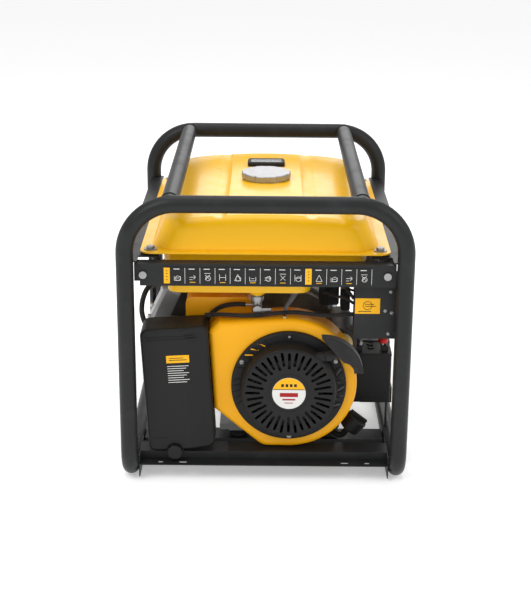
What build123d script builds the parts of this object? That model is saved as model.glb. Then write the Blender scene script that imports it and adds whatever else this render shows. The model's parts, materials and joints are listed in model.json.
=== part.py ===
from build123d import *
import os
from math import acos, atan2, cos, hypot, pi, radians, sin, sqrt, tan

os.makedirs("parts", exist_ok=True)

# Portable generator. Millimetres, +Z up. The origin is the middle of the footprint on the floor.
# +X is the control-panel side, -Y is the recoil-starter end.

# ---- driving dimensions ----
# frame tubes
tube_r = 16.0
tube_wall = 2.0
frame_width = 540.0
frame_height = 562.0
hoop_y = 328.0
hoop_corner = 92.0
foot_bend = 50.0
foot_straight = 6.0
top_tube_x = 172.0
sheet = 2.0
weld_gap = 0.2

# tank rails and plates
tank_rail_top = 440.0
tank_rail_drop = 40.0
tank_rail_overhang = 4.0
tank_rail_flange = 26.0
plate_bottom = 391.0
plate_top = 433.0
plate_front = -321.0

# crossmembers
hat_lip_z = 32.0
hat_top_z = 50.0
hat_front_y = -323.0
hat_lip = 28.0
hat_width = 42.0
slot_inner_x = 154.0
slot_outer_x = 197.0
slot_y = -311.0
slot_length = 16.0
slot_outer_length = 11.2
slot_width = 7.0
beam_top = 26.0
beam_bottom = 8.0
beam_width = 52.0

# wheel lugs
lug_thickness = 3.0
lug_length = 60.0
lug_height = 58.0
lug_hole_r = 6.25
lug_y = 255.0
lug_hole_z = 44.0

# fuel tank
tank_seam = 445.0
tank_skin = 1.5
tank_flange_x = 230.0
tank_flange_front = -296.0
tank_flange_back = 290.0
tank_dome_x = 212.0
tank_dome_front = -285.0
tank_dome_back = 272.0
tank_top = 511.0
tank_crown_r = 1290.0
tank_side_lean = 30.0
tank_end_lean = 6.0
tank_edge_r = 20.0
tank_dome_corner = 52.0
groove_x = 86.0
groove_r = 30.0
groove_depth = 3.0
pan_x = 190.0
pan_bottom = 405.0
well_left = -190.0
well_right = 92.0
well_bottom = 362.0
tank_bolt_x = 211.0
tank_bolt_y = 275.0
tank_bolt_r = 4.0
bolt_clearance = 0.5

# filler cap and gauge
cap_y = 20.0
cap_r = 50.0
cap_lobes = 12
cap_rise = 13.5
neck_r = 38.0
neck_bore_r = 30.0
neck_rise = 5.0
seal_height = 2.5
gauge_y = 142.0
gauge_width = 78.0
gauge_depth = 44.0
gauge_height = 10.0

# fuel tap
tap_x = -14.5
tap_y = -238.0
tap_r = 9.0
tap_axis_z = 323.0
tap_outlet_z = 328.0
fuel_inlet = Vector(-117.0, -205.0, 245.0)
inlet_length = 30.0
hose_gap = 0.3

# engine
crank_x = 46.0
crank_z = 182.0
cylinder_y = -120.0
cylinder_lean = 25.0
bore_r = 46.0
stroke = 69.0
deck_height = 176.0
case_left = -70.0
case_right = 143.0
case_front = -200.0
case_back = -45.0
case_bottom = 50.0
case_top = 252.0
case_wall = 9.0
journal_r = 17.5
shaft_clearance = 0.06
web_r = 56.0
web_thickness = 15.0
crankpin_r = 16.0
head_length = 74.0
head_half_height = 58.0
head_side_wall = 8.0
rocker_length = 34.0

# fan shroud and recoil starter
shroud_r = 130.0
shroud_front = -280.0
shroud_back = -206.0
shroud_skin = 1.5
shroud_edge_r = 10.0
shroud_corner = 20.0
shroud_low_corner_r = 32.0
shroud_air_gap = 1.5
shroud_shoulder = 305.0
shroud_slant_z = 130.0
shroud_slant_x = -2.0
shroud_opening_r = 99.0
lobe_left = -151.0
lobe_right = -25.0
lobe_top = 337.0
lobe_front = -224.0
lobe_bottom = 286.0
lobe_head_gap = 4.0
flywheel_r = 92.0
flywheel_front = -262.0
flywheel_back = -224.0
recoil_r = 109.0
recoil_drum_r = 87.5
recoil_front = -323.0
recoil_step = -290.0
recoil_wall = 3.0
slot_count = 36
recoil_slot_width = 5.2
pulley_r = 57.0
pulley_bore_r = 9.0
rope_r = 2.25
grip_depth = 24.0
grip_y = -310.0
grip_neck_r = 7.0
rope_boss_wall = 3.6

# air cleaner
air_lean = 3.3
air_x = -163.0
air_z = 179.5
air_width = 126.0
air_height = 246.0
air_front = -306.0
air_seam = -262.0
air_back = -236.0
air_wall = 2.5
knob_r = 14.5
knob_x = -14.0
knob_z = -125.0
knob_recess = 4.0

# alternator
alternator_r = 112.0
alternator_wall = 6.0
alternator_front = -44.8
alternator_back = 212.0
stator_front = 10.0
stator_back = 150.0
stator_bore_r = 62.5
air_gap = 1.0
bearing_r = 23.5
bearing_width = 14.0
bell_thickness = 16.0
end_cover_back = 262.0
alternator_foot_y = 175.0

# rubber mounts under the engine and the alternator
mount_r = 19.0
engine_mount_y = -160.0
engine_mount_x = 98.0
alternator_mount_x = 66.0

# muffler
muffler_left = -224.0
muffler_right = -86.0
muffler_front = -36.0
muffler_back = 190.0
muffler_bottom = 160.0
muffler_top = 322.0
tailpipe_r = 15.0
muffler_skin = 2.0
muffler_corner = 44.0
muffler_edge = 8.0

# control box
box_front = -300.0
box_back = 150.0
box_left = 186.0
box_right = 248.0
box_bottom = 284.0
box_top = 387.0
nose_left = 165.0
nose_back = -262.0
panel_thickness = 2.0
socket_r = 28.0
socket_ys = (12.0, 92.0)
socket_z = 334.0
key_y = -262.0
meter_y = -212.0
breaker_y = -158.0
terminal_ys = (-110.0, -78.0)
earth_y = -44.0
lid_thickness = 4.0

# battery
battery_left = 173.0
battery_width = 80.0
battery_front = -150.0
battery_length = 150.0
battery_bottom = 92.0
battery_height = 105.0

# ---- worked out from the driving dimensions ----
leg_x = frame_width / 2 - tube_r
bar_z = frame_height - tube_r
rail_inner_x = leg_x - tube_r
tank_rail_edge = leg_x + tank_rail_overhang
head_half_depth = bore_r + head_side_wall
lobe_back = cylinder_y - head_half_depth - lobe_head_gap
lean = radians(cylinder_lean)
cylinder_dir = Vector(-cos(lean), 0, sin(lean))
slant = Plane(origin=(crank_x, cylinder_y, crank_z), x_dir=cylinder_dir, z_dir=(0, 1, 0))
panel_face = box_right + panel_thickness
inlet_dir = Vector(-0.5, 0, -sqrt(0.75))


# ---- small shape helpers ----
def block(x0, x1, y0, y1, z0, z1):
    """A box between two corners."""
    return Pos((x0 + x1) / 2, (y0 + y1) / 2, (z0 + z1) / 2) * Box(x1 - x0, y1 - y0, z1 - z0)


def rod(p, q, r):
    """A round bar from one point to another."""
    p, q = Vector(*p), Vector(*q)
    return Plane(origin=(p + q) * 0.5, z_dir=q - p) * Cylinder(r, (q - p).length)


def rod_y(x, z, r, y0, y1):
    """A round bar along Y."""
    return rod((x, y0, z), (x, y1, z), r)


def rod_z(x, y, r, z0, z1):
    """A round bar along Z."""
    return Pos(x, y, (z0 + z1) / 2) * Cylinder(r, z1 - z0)


def tube(points, radii, r, wall=0.0):
    """A bar, or a tube where it has a wall, swept along straight runs joined by arcs."""
    path = FilletPolyline(*points, radius=radii)
    section = Circle(r) - Circle(r - wall) if wall else Circle(r)
    body = sweep(Plane(origin=path @ 0, z_dir=path % 0) * section, path=path)
    area = pi * (r**2 - (r - wall) ** 2) if wall else pi * r**2
    print(f"tube r {r}: volume over section times length {body.volume / (area * path.length):.4f}")
    return body


def cable(points, r):
    """A cable or hose, with each arc as large as its two runs allow."""
    points = [Vector(*p) for p in points]
    radii = []
    for before, corner, after in zip(points, points[1:], points[2:]):
        first, second = corner - before, after - corner
        turn = radians(first.get_angle(second))
        radii.append(0.45 * min(first.length, second.length) / tan(turn / 2))
    print("arc radii", [round(radius, 1) for radius in radii])
    return tube([tuple(p) for p in points], radii, r)


def hexagon_head(p, axis, across, height):
    """A hexagon bolt head or nut standing on a point."""
    plane = Plane(origin=p, z_dir=axis)
    return extrude(plane * RegularPolygon(across / 2, 6, major_radius=False), amount=height)


def save(name, *solids):
    """Write one node, as one solid or a group of separate ones."""
    if len(solids) == 1:
        shape = solids[0]
    else:
        shape = Compound(children=[piece.solid() for piece in solids])
    export_step(shape, f"parts/{name}.step")


# ---- frame ----
def hoop(side, r=tube_r, wall=tube_wall):
    """An upside-down U of tube whose feet bend back to meet the bottom rails."""
    y = side * hoop_y
    foot_y = side * (hoop_y - foot_bend - foot_straight)
    points = [
        (-leg_x, foot_y, tube_r),
        (-leg_x, y, tube_r),
        (-leg_x, y, bar_z),
        (leg_x, y, bar_z),
        (leg_x, y, tube_r),
        (leg_x, foot_y, tube_r),
    ]
    return tube(points, [foot_bend, hoop_corner, hoop_corner, foot_bend], r, wall)


def bottom_rail(side):
    """The tube between the two feet on one side, with its two wheel lugs welded outside."""
    half = hoop_y - foot_bend - foot_straight
    rail = rod_y(side * leg_x, tube_r, tube_r, -half, half)
    outer_x = side * (leg_x + tube_r)
    for y in (-lug_y, lug_y):
        inner_x = outer_x - side * weld_gap
        plate = block(
            min(inner_x, inner_x + side * lug_thickness),
            max(inner_x, inner_x + side * lug_thickness),
            min(y, y - y / lug_y * lug_length) if y > 0 else y,
            y if y > 0 else y + lug_length,
            tube_wall * 2,
            tube_wall * 2 + lug_height,
        )
        hole_y = y - y / lug_y * lug_length / 2
        hole = rod((outer_x - 20, hole_y, lug_hole_z), (outer_x + 20, hole_y, lug_hole_z), lug_hole_r)
        rail += plate - hole
    return rail - rod_y(side * leg_x, tube_r, tube_r - tube_wall, -half, half)


def top_tube(side):
    """A lengthwise tube over the tank, coped to the two hoop bars."""
    bar = rod_y(side * top_tube_x, bar_z, tube_r, -hoop_y, hoop_y)
    bar -= rod_y(side * top_tube_x, bar_z, tube_r - tube_wall, -hoop_y, hoop_y)
    for end in (-1, 1):
        bar -= hoop(end, tube_r + weld_gap, 0)
    return bar


def tank_rail(side):
    """An angle between the hoops that carries the tank on four tabs."""
    edge = side * tank_rail_edge
    inner = side * (tank_rail_edge - tank_rail_flange)
    tab = side * (tank_bolt_x - 17)
    flange_bottom = tank_rail_top - sheet - 1
    span = hoop_y
    rail = block(min(edge, inner), max(edge, inner), -span, span, flange_bottom, tank_rail_top)
    web = side * (tank_rail_edge - sheet)
    rail += block(min(edge, web), max(edge, web), -span, span, tank_rail_top - tank_rail_drop, tank_rail_top)
    for y in (-tank_bolt_y, tank_bolt_y):
        rail += block(min(tab, inner), max(tab, inner), y - 20, y + 20, flange_bottom, tank_rail_top)
        rail -= rod_z(side * tank_bolt_x, y, tank_bolt_r + bolt_clearance, 400, 460)
    for y in (-hoop_y, hoop_y):
        rail -= rod_z(side * leg_x, y, tube_r + weld_gap, 350, 480)
    return rail


def hat_crossmember(front_y, direction):
    """A hat-section crossmember between the bottom rails, slotted along its outer lip."""
    half = rail_inner_x - weld_gap
    lip = front_y + direction * hat_lip
    back = lip + direction * hat_width
    tail = back + direction * (hat_lip - 3)
    top = hat_top_z

    def strip(y0, y1, z0, z1):
        return block(-half, half, min(y0, y1), max(y0, y1), z0, z1)

    body = strip(front_y, lip, hat_lip_z, hat_lip_z + sheet)
    body += strip(lip - direction * sheet, lip, hat_lip_z, top)
    body += strip(lip - direction * sheet, back, top - sheet, top)
    body += strip(back - direction * sheet, back, hat_lip_z, top)
    body += strip(back - direction * sheet, tail, hat_lip_z, hat_lip_z + sheet)
    for side in (-1, 1):
        end = side * half
        inner = side * (half - sheet)
        y0, y1 = sorted((front_y + direction * 3, tail))
        body += block(min(end, inner), max(end, inner), y0, y1, tube_wall * 3, top)
        for x, length in ((slot_inner_x, slot_length), (slot_outer_x, slot_outer_length)):
            place = Pos(side * x, direction * slot_y, hat_lip_z)
            body -= place * extrude(SlotOverall(length, slot_width), amount=8, both=True)
    return body


def mount_beam(y, mount_xs):
    """A low channel between the bottom rails with holes for two rubber mounts."""
    half = rail_inner_x - weld_gap
    y0, y1 = y - beam_width / 2, y + beam_width / 2
    body = block(-half, half, y0, y1, beam_bottom, beam_top)
    body -= block(-half + sheet, half - sheet, y0 + sheet, y1 - sheet, beam_bottom - 1, beam_top - sheet)
    for x in mount_xs:
        body -= rod_z(x, y, tank_bolt_r + bolt_clearance, 0, 40)
    return body


def front_plate():
    """The folded plate between the front legs, below the tank."""
    half = rail_inner_x - weld_gap
    back = plate_front + sheet
    body = block(-half, half, plate_front, back, plate_bottom, plate_top)
    body += block(-half, half, plate_front, plate_front + 24, plate_top - sheet, plate_top)
    body += block(-half, half, plate_front, plate_front + 14, plate_bottom, plate_bottom + sheet)
    body -= block(-half - 1, -half + 10, plate_front - 1, plate_front + 30, plate_bottom - 1, plate_bottom + 9)
    for x in (-222, 222):
        body -= rod_y(x, 412, 3 + bolt_clearance / 2, plate_front - 5, back + 5)
    return body


def instruction_plate():
    """A thin printed strip on the front plate."""
    front = plate_front - 1.2
    strip = block(-184, 193, front, plate_front - weld_gap, 395, 427)
    return fillet(strip.edges().filter_by(Axis.Y), 3)


# ---- fuel tank ----
def frustum(x0, x1, y0, y1, z0, z1, lean_x, lean_y, corner):
    """A rounded rectangle that narrows from z0 to z1 by lean_x and lean_y on each side."""
    centre = ((x0 + x1) / 2, (y0 + y1) / 2)
    low = Pos(*centre, z0) * RectangleRounded(x1 - x0, y1 - y0, corner)
    high = Pos(*centre, z1) * RectangleRounded(x1 - x0 - 2 * lean_x, y1 - y0 - 2 * lean_y, corner)
    return loft([low, high], ruled=True)


def tank_dome(inset):
    """The upper half as a filled shape, made smaller all round by an inset."""
    top = tank_top - inset
    body = frustum(
        -tank_dome_x + inset, tank_dome_x - inset, tank_dome_front + inset, tank_dome_back - inset,
        tank_seam - 1, top + 1, tank_side_lean, tank_end_lean, tank_dome_corner - inset,
    )
    crown = tank_crown_r - inset
    body &= rod_y(0, tank_top - tank_crown_r, crown, tank_dome_front - 50, tank_dome_back + 50)
    rims = [edge for edge in body.edges() if edge.bounding_box().min.Z > tank_seam + 25]
    body = fillet(rims, tank_edge_r - inset)
    for x in (-groove_x, groove_x):
        low = tank_top - groove_depth - x**2 / 2 / tank_crown_r
        body -= rod_y(x, low + groove_r, groove_r + inset, tank_dome_front - 50, tank_dome_back + 50)
    return body


def tank_flange(z):
    """The rim that the two halves are seamed along, with its four bolt holes."""
    centre_y = (tank_flange_front + tank_flange_back) / 2
    outline = RectangleRounded(2 * tank_flange_x, tank_flange_back - tank_flange_front, 20)
    rim = extrude(Pos(0, centre_y, z) * outline, amount=tank_skin)
    for x in (-tank_bolt_x, tank_bolt_x):
        for y in (-tank_bolt_y, tank_bolt_y):
            rim -= rod_z(x, y, tank_bolt_r + bolt_clearance, z - 5, z + 5)
    return rim


def tank_upper():
    """The domed upper half with its filler neck."""
    body = tank_dome(0) + tank_flange(tank_seam)
    body -= tank_dome(tank_skin)
    body -= block(-300, 300, -400, 400, tank_seam - 20, tank_seam)
    body += rod_z(0, cap_y, neck_r, tank_top - 8, tank_top + neck_rise)
    return body - rod_z(0, cap_y, neck_bore_r, tank_top - 30, tank_top + 30)


def tank_pan(inset):
    """The lower half as a filled shape: a shallow pan with a deeper well on the engine side."""
    top = tank_seam + 1
    front, back = tank_dome_front + 6, tank_dome_back - 6
    pan = frustum(
        -pan_x + inset, pan_x - inset, front + inset, back - inset,
        top, pan_bottom + inset, 6, 6, 24 - inset,
    )
    well = frustum(
        well_left + inset, well_right - inset, front + inset, back - inset,
        top, well_bottom + inset, 8, 8, 24 - inset,
    )
    sump = Pos(tap_x, tap_y, well_bottom - 6) * Cone(tap_r + 3 - inset, 26 - inset, 14)
    return pan + well + sump


def tank_lower():
    """The lower half, open at the top, with the outlet of the fuel tap."""
    body = tank_pan(0) + tank_flange(tank_seam - tank_skin)
    body -= tank_pan(tank_skin)
    body -= block(-300, 300, -400, 400, tank_seam, tank_seam + 20)
    return body - rod_z(tap_x, tap_y, 5, well_bottom - 40, well_bottom + 5)


def fuel_cap():
    """A metal cap with a scalloped skirt."""
    base = tank_top + 0.3
    outline = Circle(cap_r) - PolarLocations(cap_r + 7, cap_lobes) * Circle(9)
    skirt = extrude(Pos(0, cap_y, base + 3) * outline, amount=cap_rise - 3)
    skirt += rod_z(0, cap_y, cap_r - 3, base, base + 4)
    skirt = fillet(skirt.edges().group_by(Axis.Z)[-1], 2)
    return skirt - rod_z(0, cap_y, neck_r + 3, base - 5, tank_top + neck_rise + seal_height + 0.3)


def cap_seal():
    """The rubber ring between the neck and the cap."""
    z0 = tank_top + neck_rise + 0.1
    ring = rod_z(0, cap_y, neck_r - 1, z0, z0 + seal_height)
    return ring - rod_z(0, cap_y, neck_bore_r + 1, z0 - 5, z0 + 10)


def fuel_gauge():
    """The body of the float gauge, let into the top of the tank."""
    z0 = tank_top - 1.0
    w, d = gauge_width / 2, gauge_depth / 2
    body = block(-w, w, gauge_y - d, gauge_y + d, z0 + 1.2, z0 + gauge_height)
    body = fillet(body.edges().filter_by(Axis.Z), 8)
    body = chamfer(body.edges().group_by(Axis.Z)[-1], 2.5)
    window = block(-w + 7, w - 7, gauge_y - d + 7, gauge_y + d - 7, z0 + 3.5, z0 + 30)
    return body - window


def gauge_lens():
    """The clear window over the pointer."""
    w, d = gauge_width / 2 - 7.2, gauge_depth / 2 - 7.2
    z1 = tank_top - 1.0 + gauge_height
    return block(-w, w, gauge_y - d, gauge_y + d, z1 - 2.2, z1 - 0.6)


def gauge_pointer():
    """The pointer that the float turns."""
    z0 = tank_top + 3.0
    body = rod_z(0, gauge_y - 9, 2.5, z0, z0 + 2)
    return body + block(-1, 1, gauge_y - 10, gauge_y + 11, z0 + 0.5, z0 + 1.5)


# ---- fuel tap and hose ----
def fuel_tap():
    """The body of the fuel tap, screwed into the sump."""
    body = rod_z(tap_x, tap_y, tap_r, 313, well_bottom - 13.2)
    body += rod_z(tap_x, tap_y, tap_r + 3, 338, 346)
    body += rod_y(tap_x, tap_axis_z, 8, tap_y - 14, tap_y)
    return body + rod((tap_x - 22, tap_y, tap_outlet_z), (tap_x, tap_y, tap_outlet_z), 3)


def fuel_tap_lever():
    """The lever on the front of the fuel tap."""
    y = tap_y - 14.3
    hub = rod_y(tap_x, tap_axis_z, 8, y - 5, y)
    arm = block(tap_x, tap_x + 26, y - 4, y - 1, tap_axis_z - 3.5, tap_axis_z + 3.5)
    return hub + arm


def fuel_hose():
    """The hose from the tap, round the corner of the air cleaner, to the carburettor."""
    points = [
        (tap_x - 22.3, tap_y, tap_outlet_z), (-58, -236, 328), (-82, -231, 322), (-103, -230, 307),
        (-112, -230, 289), (-114.5, -226, 273), (-113, -217, 262), fuel_inlet - inlet_dir * 11, fuel_inlet,
    ]
    return cable(points, 4.5)


# ---- engine ----
def crankcase():
    """The engine block: case, base flange and finned barrel in one casting."""
    body = block(case_left, case_right, case_front, case_back, case_bottom, case_top)
    body += block(case_left - 18, case_right, case_front + 5, case_back - 5, case_bottom, case_bottom + 12)
    cut = Plane(origin=(case_right, 0, case_top - 62), x_dir=(0, 1, 0), z_dir=(0.76, 0, 0.65))
    body -= cut * Pos(0, 0, 50) * Box(600, 400, 100)
    body += slant * Pos(deck_height / 2, 0, 0) * Rot(0, 90, 0) * Cylinder(bore_r + 7, deck_height)
    fins_start = 98.0
    fin_step = 9.0
    for index in range(8):
        along = fins_start + index * fin_step
        body += slant * Pos(along, 0, 0) * Box(3, 2 * head_half_height, 2 * head_half_depth)
    body += slant * Pos(deck_height - 5, 0, 0) * Box(10, 2 * head_half_height, 2 * head_half_depth)
    body -= rod_y(crank_x, crank_z, web_r + 8, case_front + case_wall, case_back - case_wall)
    body -= slant * Pos(deck_height / 2 + 5, 0, 0) * Rot(0, 90, 0) * Cylinder(bore_r, deck_height + 10)
    body -= rod_y(crank_x, crank_z, journal_r + shaft_clearance, case_front - 5, case_back + 5)
    for x in (crank_x - engine_mount_x, crank_x + engine_mount_x - 12):
        body -= rod_z(x, engine_mount_y, tank_bolt_r + bolt_clearance, case_bottom - 5, case_bottom + 14)
    return body


def cylinder_head():
    """The finned head, with its ports front and back and the plug seat on top."""
    start = deck_height + weld_gap
    middle = start + head_length / 2
    body = slant * Pos(middle, 0, 0) * Box(head_length, 2 * head_half_height, 2 * head_half_depth)
    for index in range(5):
        along = start + 14 + index * 10
        for side in (-1, 1):
            place = Pos(along, side * (head_half_height + 2), 0)
            body -= slant * place * Box(5, 40, 2 * head_half_depth + 10)
    for side in (-1, 1):
        body += slant * Pos(middle, -12, side * head_half_depth / 2) * Cylinder(24, head_half_depth)
    body -= slant * Pos(middle, -12, -head_half_depth) * Cylinder(14, 60)
    body -= slant * Pos(middle, -12, head_half_depth) * Cylinder(14, 60)
    body += slant * Pos(middle, 40, 30) * Rot(90, 0, 0) * Cylinder(13, 36)
    return body - slant * Pos(middle, 50, 30) * Rot(90, 0, 0) * Cylinder(7, 60)


def rocker_cover():
    """The pressed cover over the valve gear."""
    start = deck_height + weld_gap + head_length + weld_gap
    place = slant * Pos(start + rocker_length / 2, 0, 0)
    body = place * fillet(Box(rocker_length, 100, 92).edges().filter_by(Axis.X), 16)
    far_rim = body.faces().sort_by(Axis(crank_origin(), cylinder_dir))[-1].edges()
    body = fillet(far_rim, 8)
    body -= slant * Pos(start + rocker_length / 2 - 3, 0, 0) * Box(rocker_length, 92, 84)
    return body


def crank_origin():
    """The point on the crank axis in the middle of the cylinder."""
    return (crank_x, cylinder_y, crank_z)


def spark_plug():
    """The plug in the top of the head."""
    along = deck_height + weld_gap + head_length / 2
    base = 58.3
    plane = slant * Pos(along, base, 30) * Rot(-90, 0, 0)
    body = plane * Pos(0, 0, 3.5) * Cylinder(9.5, 7)
    body += plane * Pos(0, 0, 11) * Cylinder(5, 10)
    return body + plane * Pos(0, 0, -15) * Cylinder(6.8, 30)


def piston():
    """The piston at the top of its stroke, with its gudgeon pin."""
    top = deck_height - 1.0
    height = 62.0
    skin = bore_r - 0.05
    body = slant * Pos(top - height / 2, 0, 0) * Rot(0, 90, 0) * Cylinder(skin, height)
    body -= slant * Pos(top - height / 2 - 10, 0, 0) * Rot(0, 90, 0) * Cylinder(skin - 5, height)
    for ring in range(3):
        along = top - 8 - ring * 6
        groove = Cylinder(skin + 5, 1.6) - Cylinder(skin - 1.5, 1.6)
        body -= slant * Pos(along, 0, 0) * Rot(0, 90, 0) * groove
    return body + slant * Pos(top - 34, 0, 0) * Cylinder(11, 2 * skin - 6)


def crankshaft():
    """One throw between two webs, a nose for the flywheel and a tail for the rotor."""
    nose, tail = recoil_step + 4, alternator_back - 0.5
    body = rod_y(crank_x, crank_z, journal_r, case_front - 4, case_back + 6)
    body += rod_y(crank_x, crank_z, 12.5, nose, case_front)
    body += rod_y(crank_x, crank_z, 15, case_back, alternator_back - bearing_width - 4)
    body += rod_y(crank_x, crank_z, 10, alternator_back - bearing_width - 6, tail)
    gap = 30.0
    body -= rod_y(crank_x, crank_z, journal_r + 1, cylinder_y - gap / 2, cylinder_y + gap / 2)
    pin_x = crank_x + cylinder_dir.X * stroke / 2
    pin_z = crank_z + cylinder_dir.Z * stroke / 2
    half = gap / 2 + web_thickness
    for y0 in (cylinder_y - half, cylinder_y + gap / 2):
        web = rod_y(crank_x, crank_z, web_r, y0, y0 + web_thickness)
        for side in (-1, 1):
            place = slant * Pos(26, side * 52, y0 + web_thickness / 2 - cylinder_y)
            web -= place * Box(80, 50, web_thickness + 2)
        body += web
    return body + rod_y(pin_x, pin_z, crankpin_r, cylinder_y - half + 2, cylinder_y + half - 2)


def flywheel():
    """The flywheel with its ring of fan blades and the starter cup."""
    body = rod_y(crank_x, crank_z, flywheel_r, flywheel_back - 16, flywheel_back)
    body += rod_y(crank_x, crank_z, 30, flywheel_front, flywheel_back)
    blades = 16
    for index in range(blades):
        blade = block(34, flywheel_r - 3, flywheel_front, flywheel_back - 14, -1.5, 1.5)
        body += Pos(crank_x, 0, crank_z) * Rot(0, 360 / blades * index, 0) * blade
    cup = rod_y(crank_x, crank_z, 40, flywheel_front - 18, flywheel_front + 3)
    cup -= rod_y(crank_x, crank_z, 37, flywheel_front - 19, flywheel_front)
    body += cup
    return body - rod_y(crank_x, crank_z, 12.5, flywheel_front - 30, flywheel_back + 5)


def carburettor():
    """The carburettor between the air cleaner and the head, with its float bowl."""
    x, z = port_centre()
    y0, y1 = air_back + weld_gap, cylinder_y - head_half_depth - weld_gap
    body = rod_y(x, z, 21, y0, y1)
    body += block(x - 34, x + 34, y1 - 8, y1, z - 20, z + 20)
    body += block(x - 28, x + 28, y0, y0 + 6, z - 20, z + 20)
    body += rod_z(x, -205, 24, z - 66, z - 12)
    body += rod(tuple(fuel_inlet + inlet_dir * inlet_length), tuple(fuel_inlet + inlet_dir * hose_gap), 3)
    return body - rod_y(x, z, 14, y0 - 5, y1 + 5)


def port_centre():
    """Where the intake port meets the front of the head, as X and Z."""
    along = deck_height + weld_gap + head_length / 2
    across = -12
    return (
        crank_x - cos(lean) * along + sin(lean) * across,
        crank_z + sin(lean) * along + cos(lean) * across,
    )


def choke_lever():
    """The choke lever on top of the carburettor."""
    x, z = port_centre()
    x -= 6
    y = -215
    body = rod_z(x, y, 6, z + 21.3, z + 26)
    body += block(x - 36, x, y - 4, y + 4, z + 23, z + 25.5)
    return body + rod_z(x - 34, y, 6, z + 22.5, z + 29)


def starter_motor():
    """The electric starter beside the case, with its solenoid."""
    x, z = 150, 235
    body = rod_y(x, z, 30, case_front + 6, -62)
    body += rod_y(x, z, 24, -62, -54)
    body += rod_y(x + 42, z + 33, 15, case_front + 2, -140)
    return body + block(x + 8, x + 40, case_front + 8, case_front + 20, z + 8, z + 32)


def oil_filler_points():
    """The route of the filler neck, from the case to the mouth."""
    return [(136, case_front - 0.3, 54), (136, -216, 54), (152, -218, 48), (166, -219, 66)]


def oil_filler():
    """The filler neck low on the case, bent up to its mouth."""
    return cable(oil_filler_points(), 6.5)


def oil_cap():
    """The finger-grip cap on the filler neck."""
    bend, mouth = oil_filler_points()[-2:]
    along = (Vector(*mouth) - Vector(*bend)).normalized()
    base = Vector(*mouth) + along * 0.3
    plane = Plane(origin=base, z_dir=along)
    body = plane * Pos(0, 0, 14) * Cylinder(22, 28)
    body = fillet(body.edges().filter_by(GeomType.CIRCLE), 2.5)
    return body + plane * Pos(0, 0, 31) * Box(38, 7, 8)


# ---- shroud and recoil starter ----
def shroud_outline(inset):
    """The front outline of the shroud: a round right side and a duct towards the cylinder."""
    r = shroud_r - inset
    high_left = air_edge(shroud_shoulder) + shroud_air_gap + inset
    low_left = air_edge(shroud_slant_z) + shroud_air_gap + inset
    bottom = crank_z - r
    corner_z = shroud_shoulder - inset
    across, up = high_left + shroud_corner - crank_x, corner_z - crank_z
    tangent = atan2(up, across) - acos(r / hypot(across, up))
    top = (crank_x + r * cos(tangent), crank_z + r * sin(tangent))
    with BuildSketch(Plane.XZ) as outline:
        with BuildLine():
            Line((low_left, shroud_slant_z), (high_left, corner_z - shroud_corner))
            Line((high_left, corner_z - shroud_corner), (high_left + shroud_corner, corner_z))
            Line((high_left + shroud_corner, corner_z), top)
            RadiusArc(top, (crank_x + r, crank_z), r)
            RadiusArc((crank_x + r, crank_z), (crank_x, bottom), r)
            Line((crank_x, bottom), (shroud_slant_x + inset / 2, bottom))
            Line((shroud_slant_x + inset / 2, bottom), (low_left, shroud_slant_z))
        make_face()
        low_corner = outline.vertices().sort_by_distance((shroud_slant_x, bottom))[0]
        fillet(low_corner, shroud_low_corner_r - inset)
    return outline.sketch


def air_edge(z):
    """X of the right side of the leaning air cleaner at a height."""
    return air_x + air_width / 2 - (z - air_z) * tan(radians(air_lean))


def shroud_block(inset, front, back):
    """The shroud as a filled shape."""
    body = extrude(Pos(0, front, 0) * shroud_outline(inset), amount=front - back)
    lobe = block(
        lobe_left + inset, lobe_right - inset, lobe_front + inset, lobe_back - inset,
        lobe_bottom + inset, lobe_top - inset,
    )
    lobe = fillet(lobe.edges().filter_by(Axis.Y).group_by(Axis.Z)[-1], 14 - inset)
    body = fillet(body.faces().sort_by(Axis.Y)[0].edges(), shroud_edge_r - inset)
    return body + lobe


def fan_shroud():
    """The pressed shroud over the fan, open at the back, with a duct to the barrel."""
    body = shroud_block(0, shroud_front, shroud_back)
    body -= shroud_block(shroud_skin, shroud_front + shroud_skin, shroud_back + 0.1)
    body -= block(lobe_left + 12, lobe_right - 12, lobe_back - 5, lobe_back + 1, lobe_bottom + 6, lobe_top - 12)
    return body - rod_y(crank_x, crank_z, shroud_opening_r, shroud_front - 5, shroud_front + 20)


def recoil_housing():
    """The black starter cover: a flange ring, a raised drum and two rings of radial slots."""
    seat = shroud_front - 0.2
    body = rod_y(crank_x, crank_z, recoil_r, recoil_step, seat)
    body = fillet(body.edges().group_by(Axis.Y)[0], 4)
    cone = Plane(origin=(crank_x, recoil_front, crank_z), z_dir=(0, 1, 0)) * Pos(0, 0, 16.5)
    body += cone * Cone(recoil_drum_r, recoil_drum_r + 5, 33)
    body = fillet(body.edges().group_by(Axis.Y)[0], 4)
    body -= rod_y(crank_x, crank_z, recoil_drum_r - recoil_wall, recoil_front + recoil_wall, seat + 1)
    for index in range(slot_count):
        inner, outer = (48, 80) if index % 2 else (54, 82)
        half = recoil_slot_width / 2
        slot = block(inner, outer, recoil_front - 1, recoil_front + recoil_wall + 1, -half, half)
        slot = fillet(slot.edges().filter_by(Axis.Y), half - 0.2)
        body -= Pos(crank_x, 0, crank_z) * Rot(0, 360 / slot_count * index, 0) * slot
    body += rod_y(crank_x, crank_z, pulley_bore_r - 0.05, recoil_front + 1, recoil_front + 26)
    outlet = Vector(*rope_outlet())
    boss_start = outlet - pull_line() * 26
    body += rod(tuple(boss_start), tuple(outlet - pull_line() * 0.3), grip_neck_r + rope_boss_wall)
    body -= rod_y(crank_x, crank_z, pulley_r + 12, recoil_front + 4, recoil_step + 8)
    body += rod_y(crank_x, crank_z, pulley_bore_r - 0.05, recoil_front + 1, recoil_front + 26)
    return body - rod(tuple(boss_start - pull_line() * 30), tuple(outlet), rope_r + 1)


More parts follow.
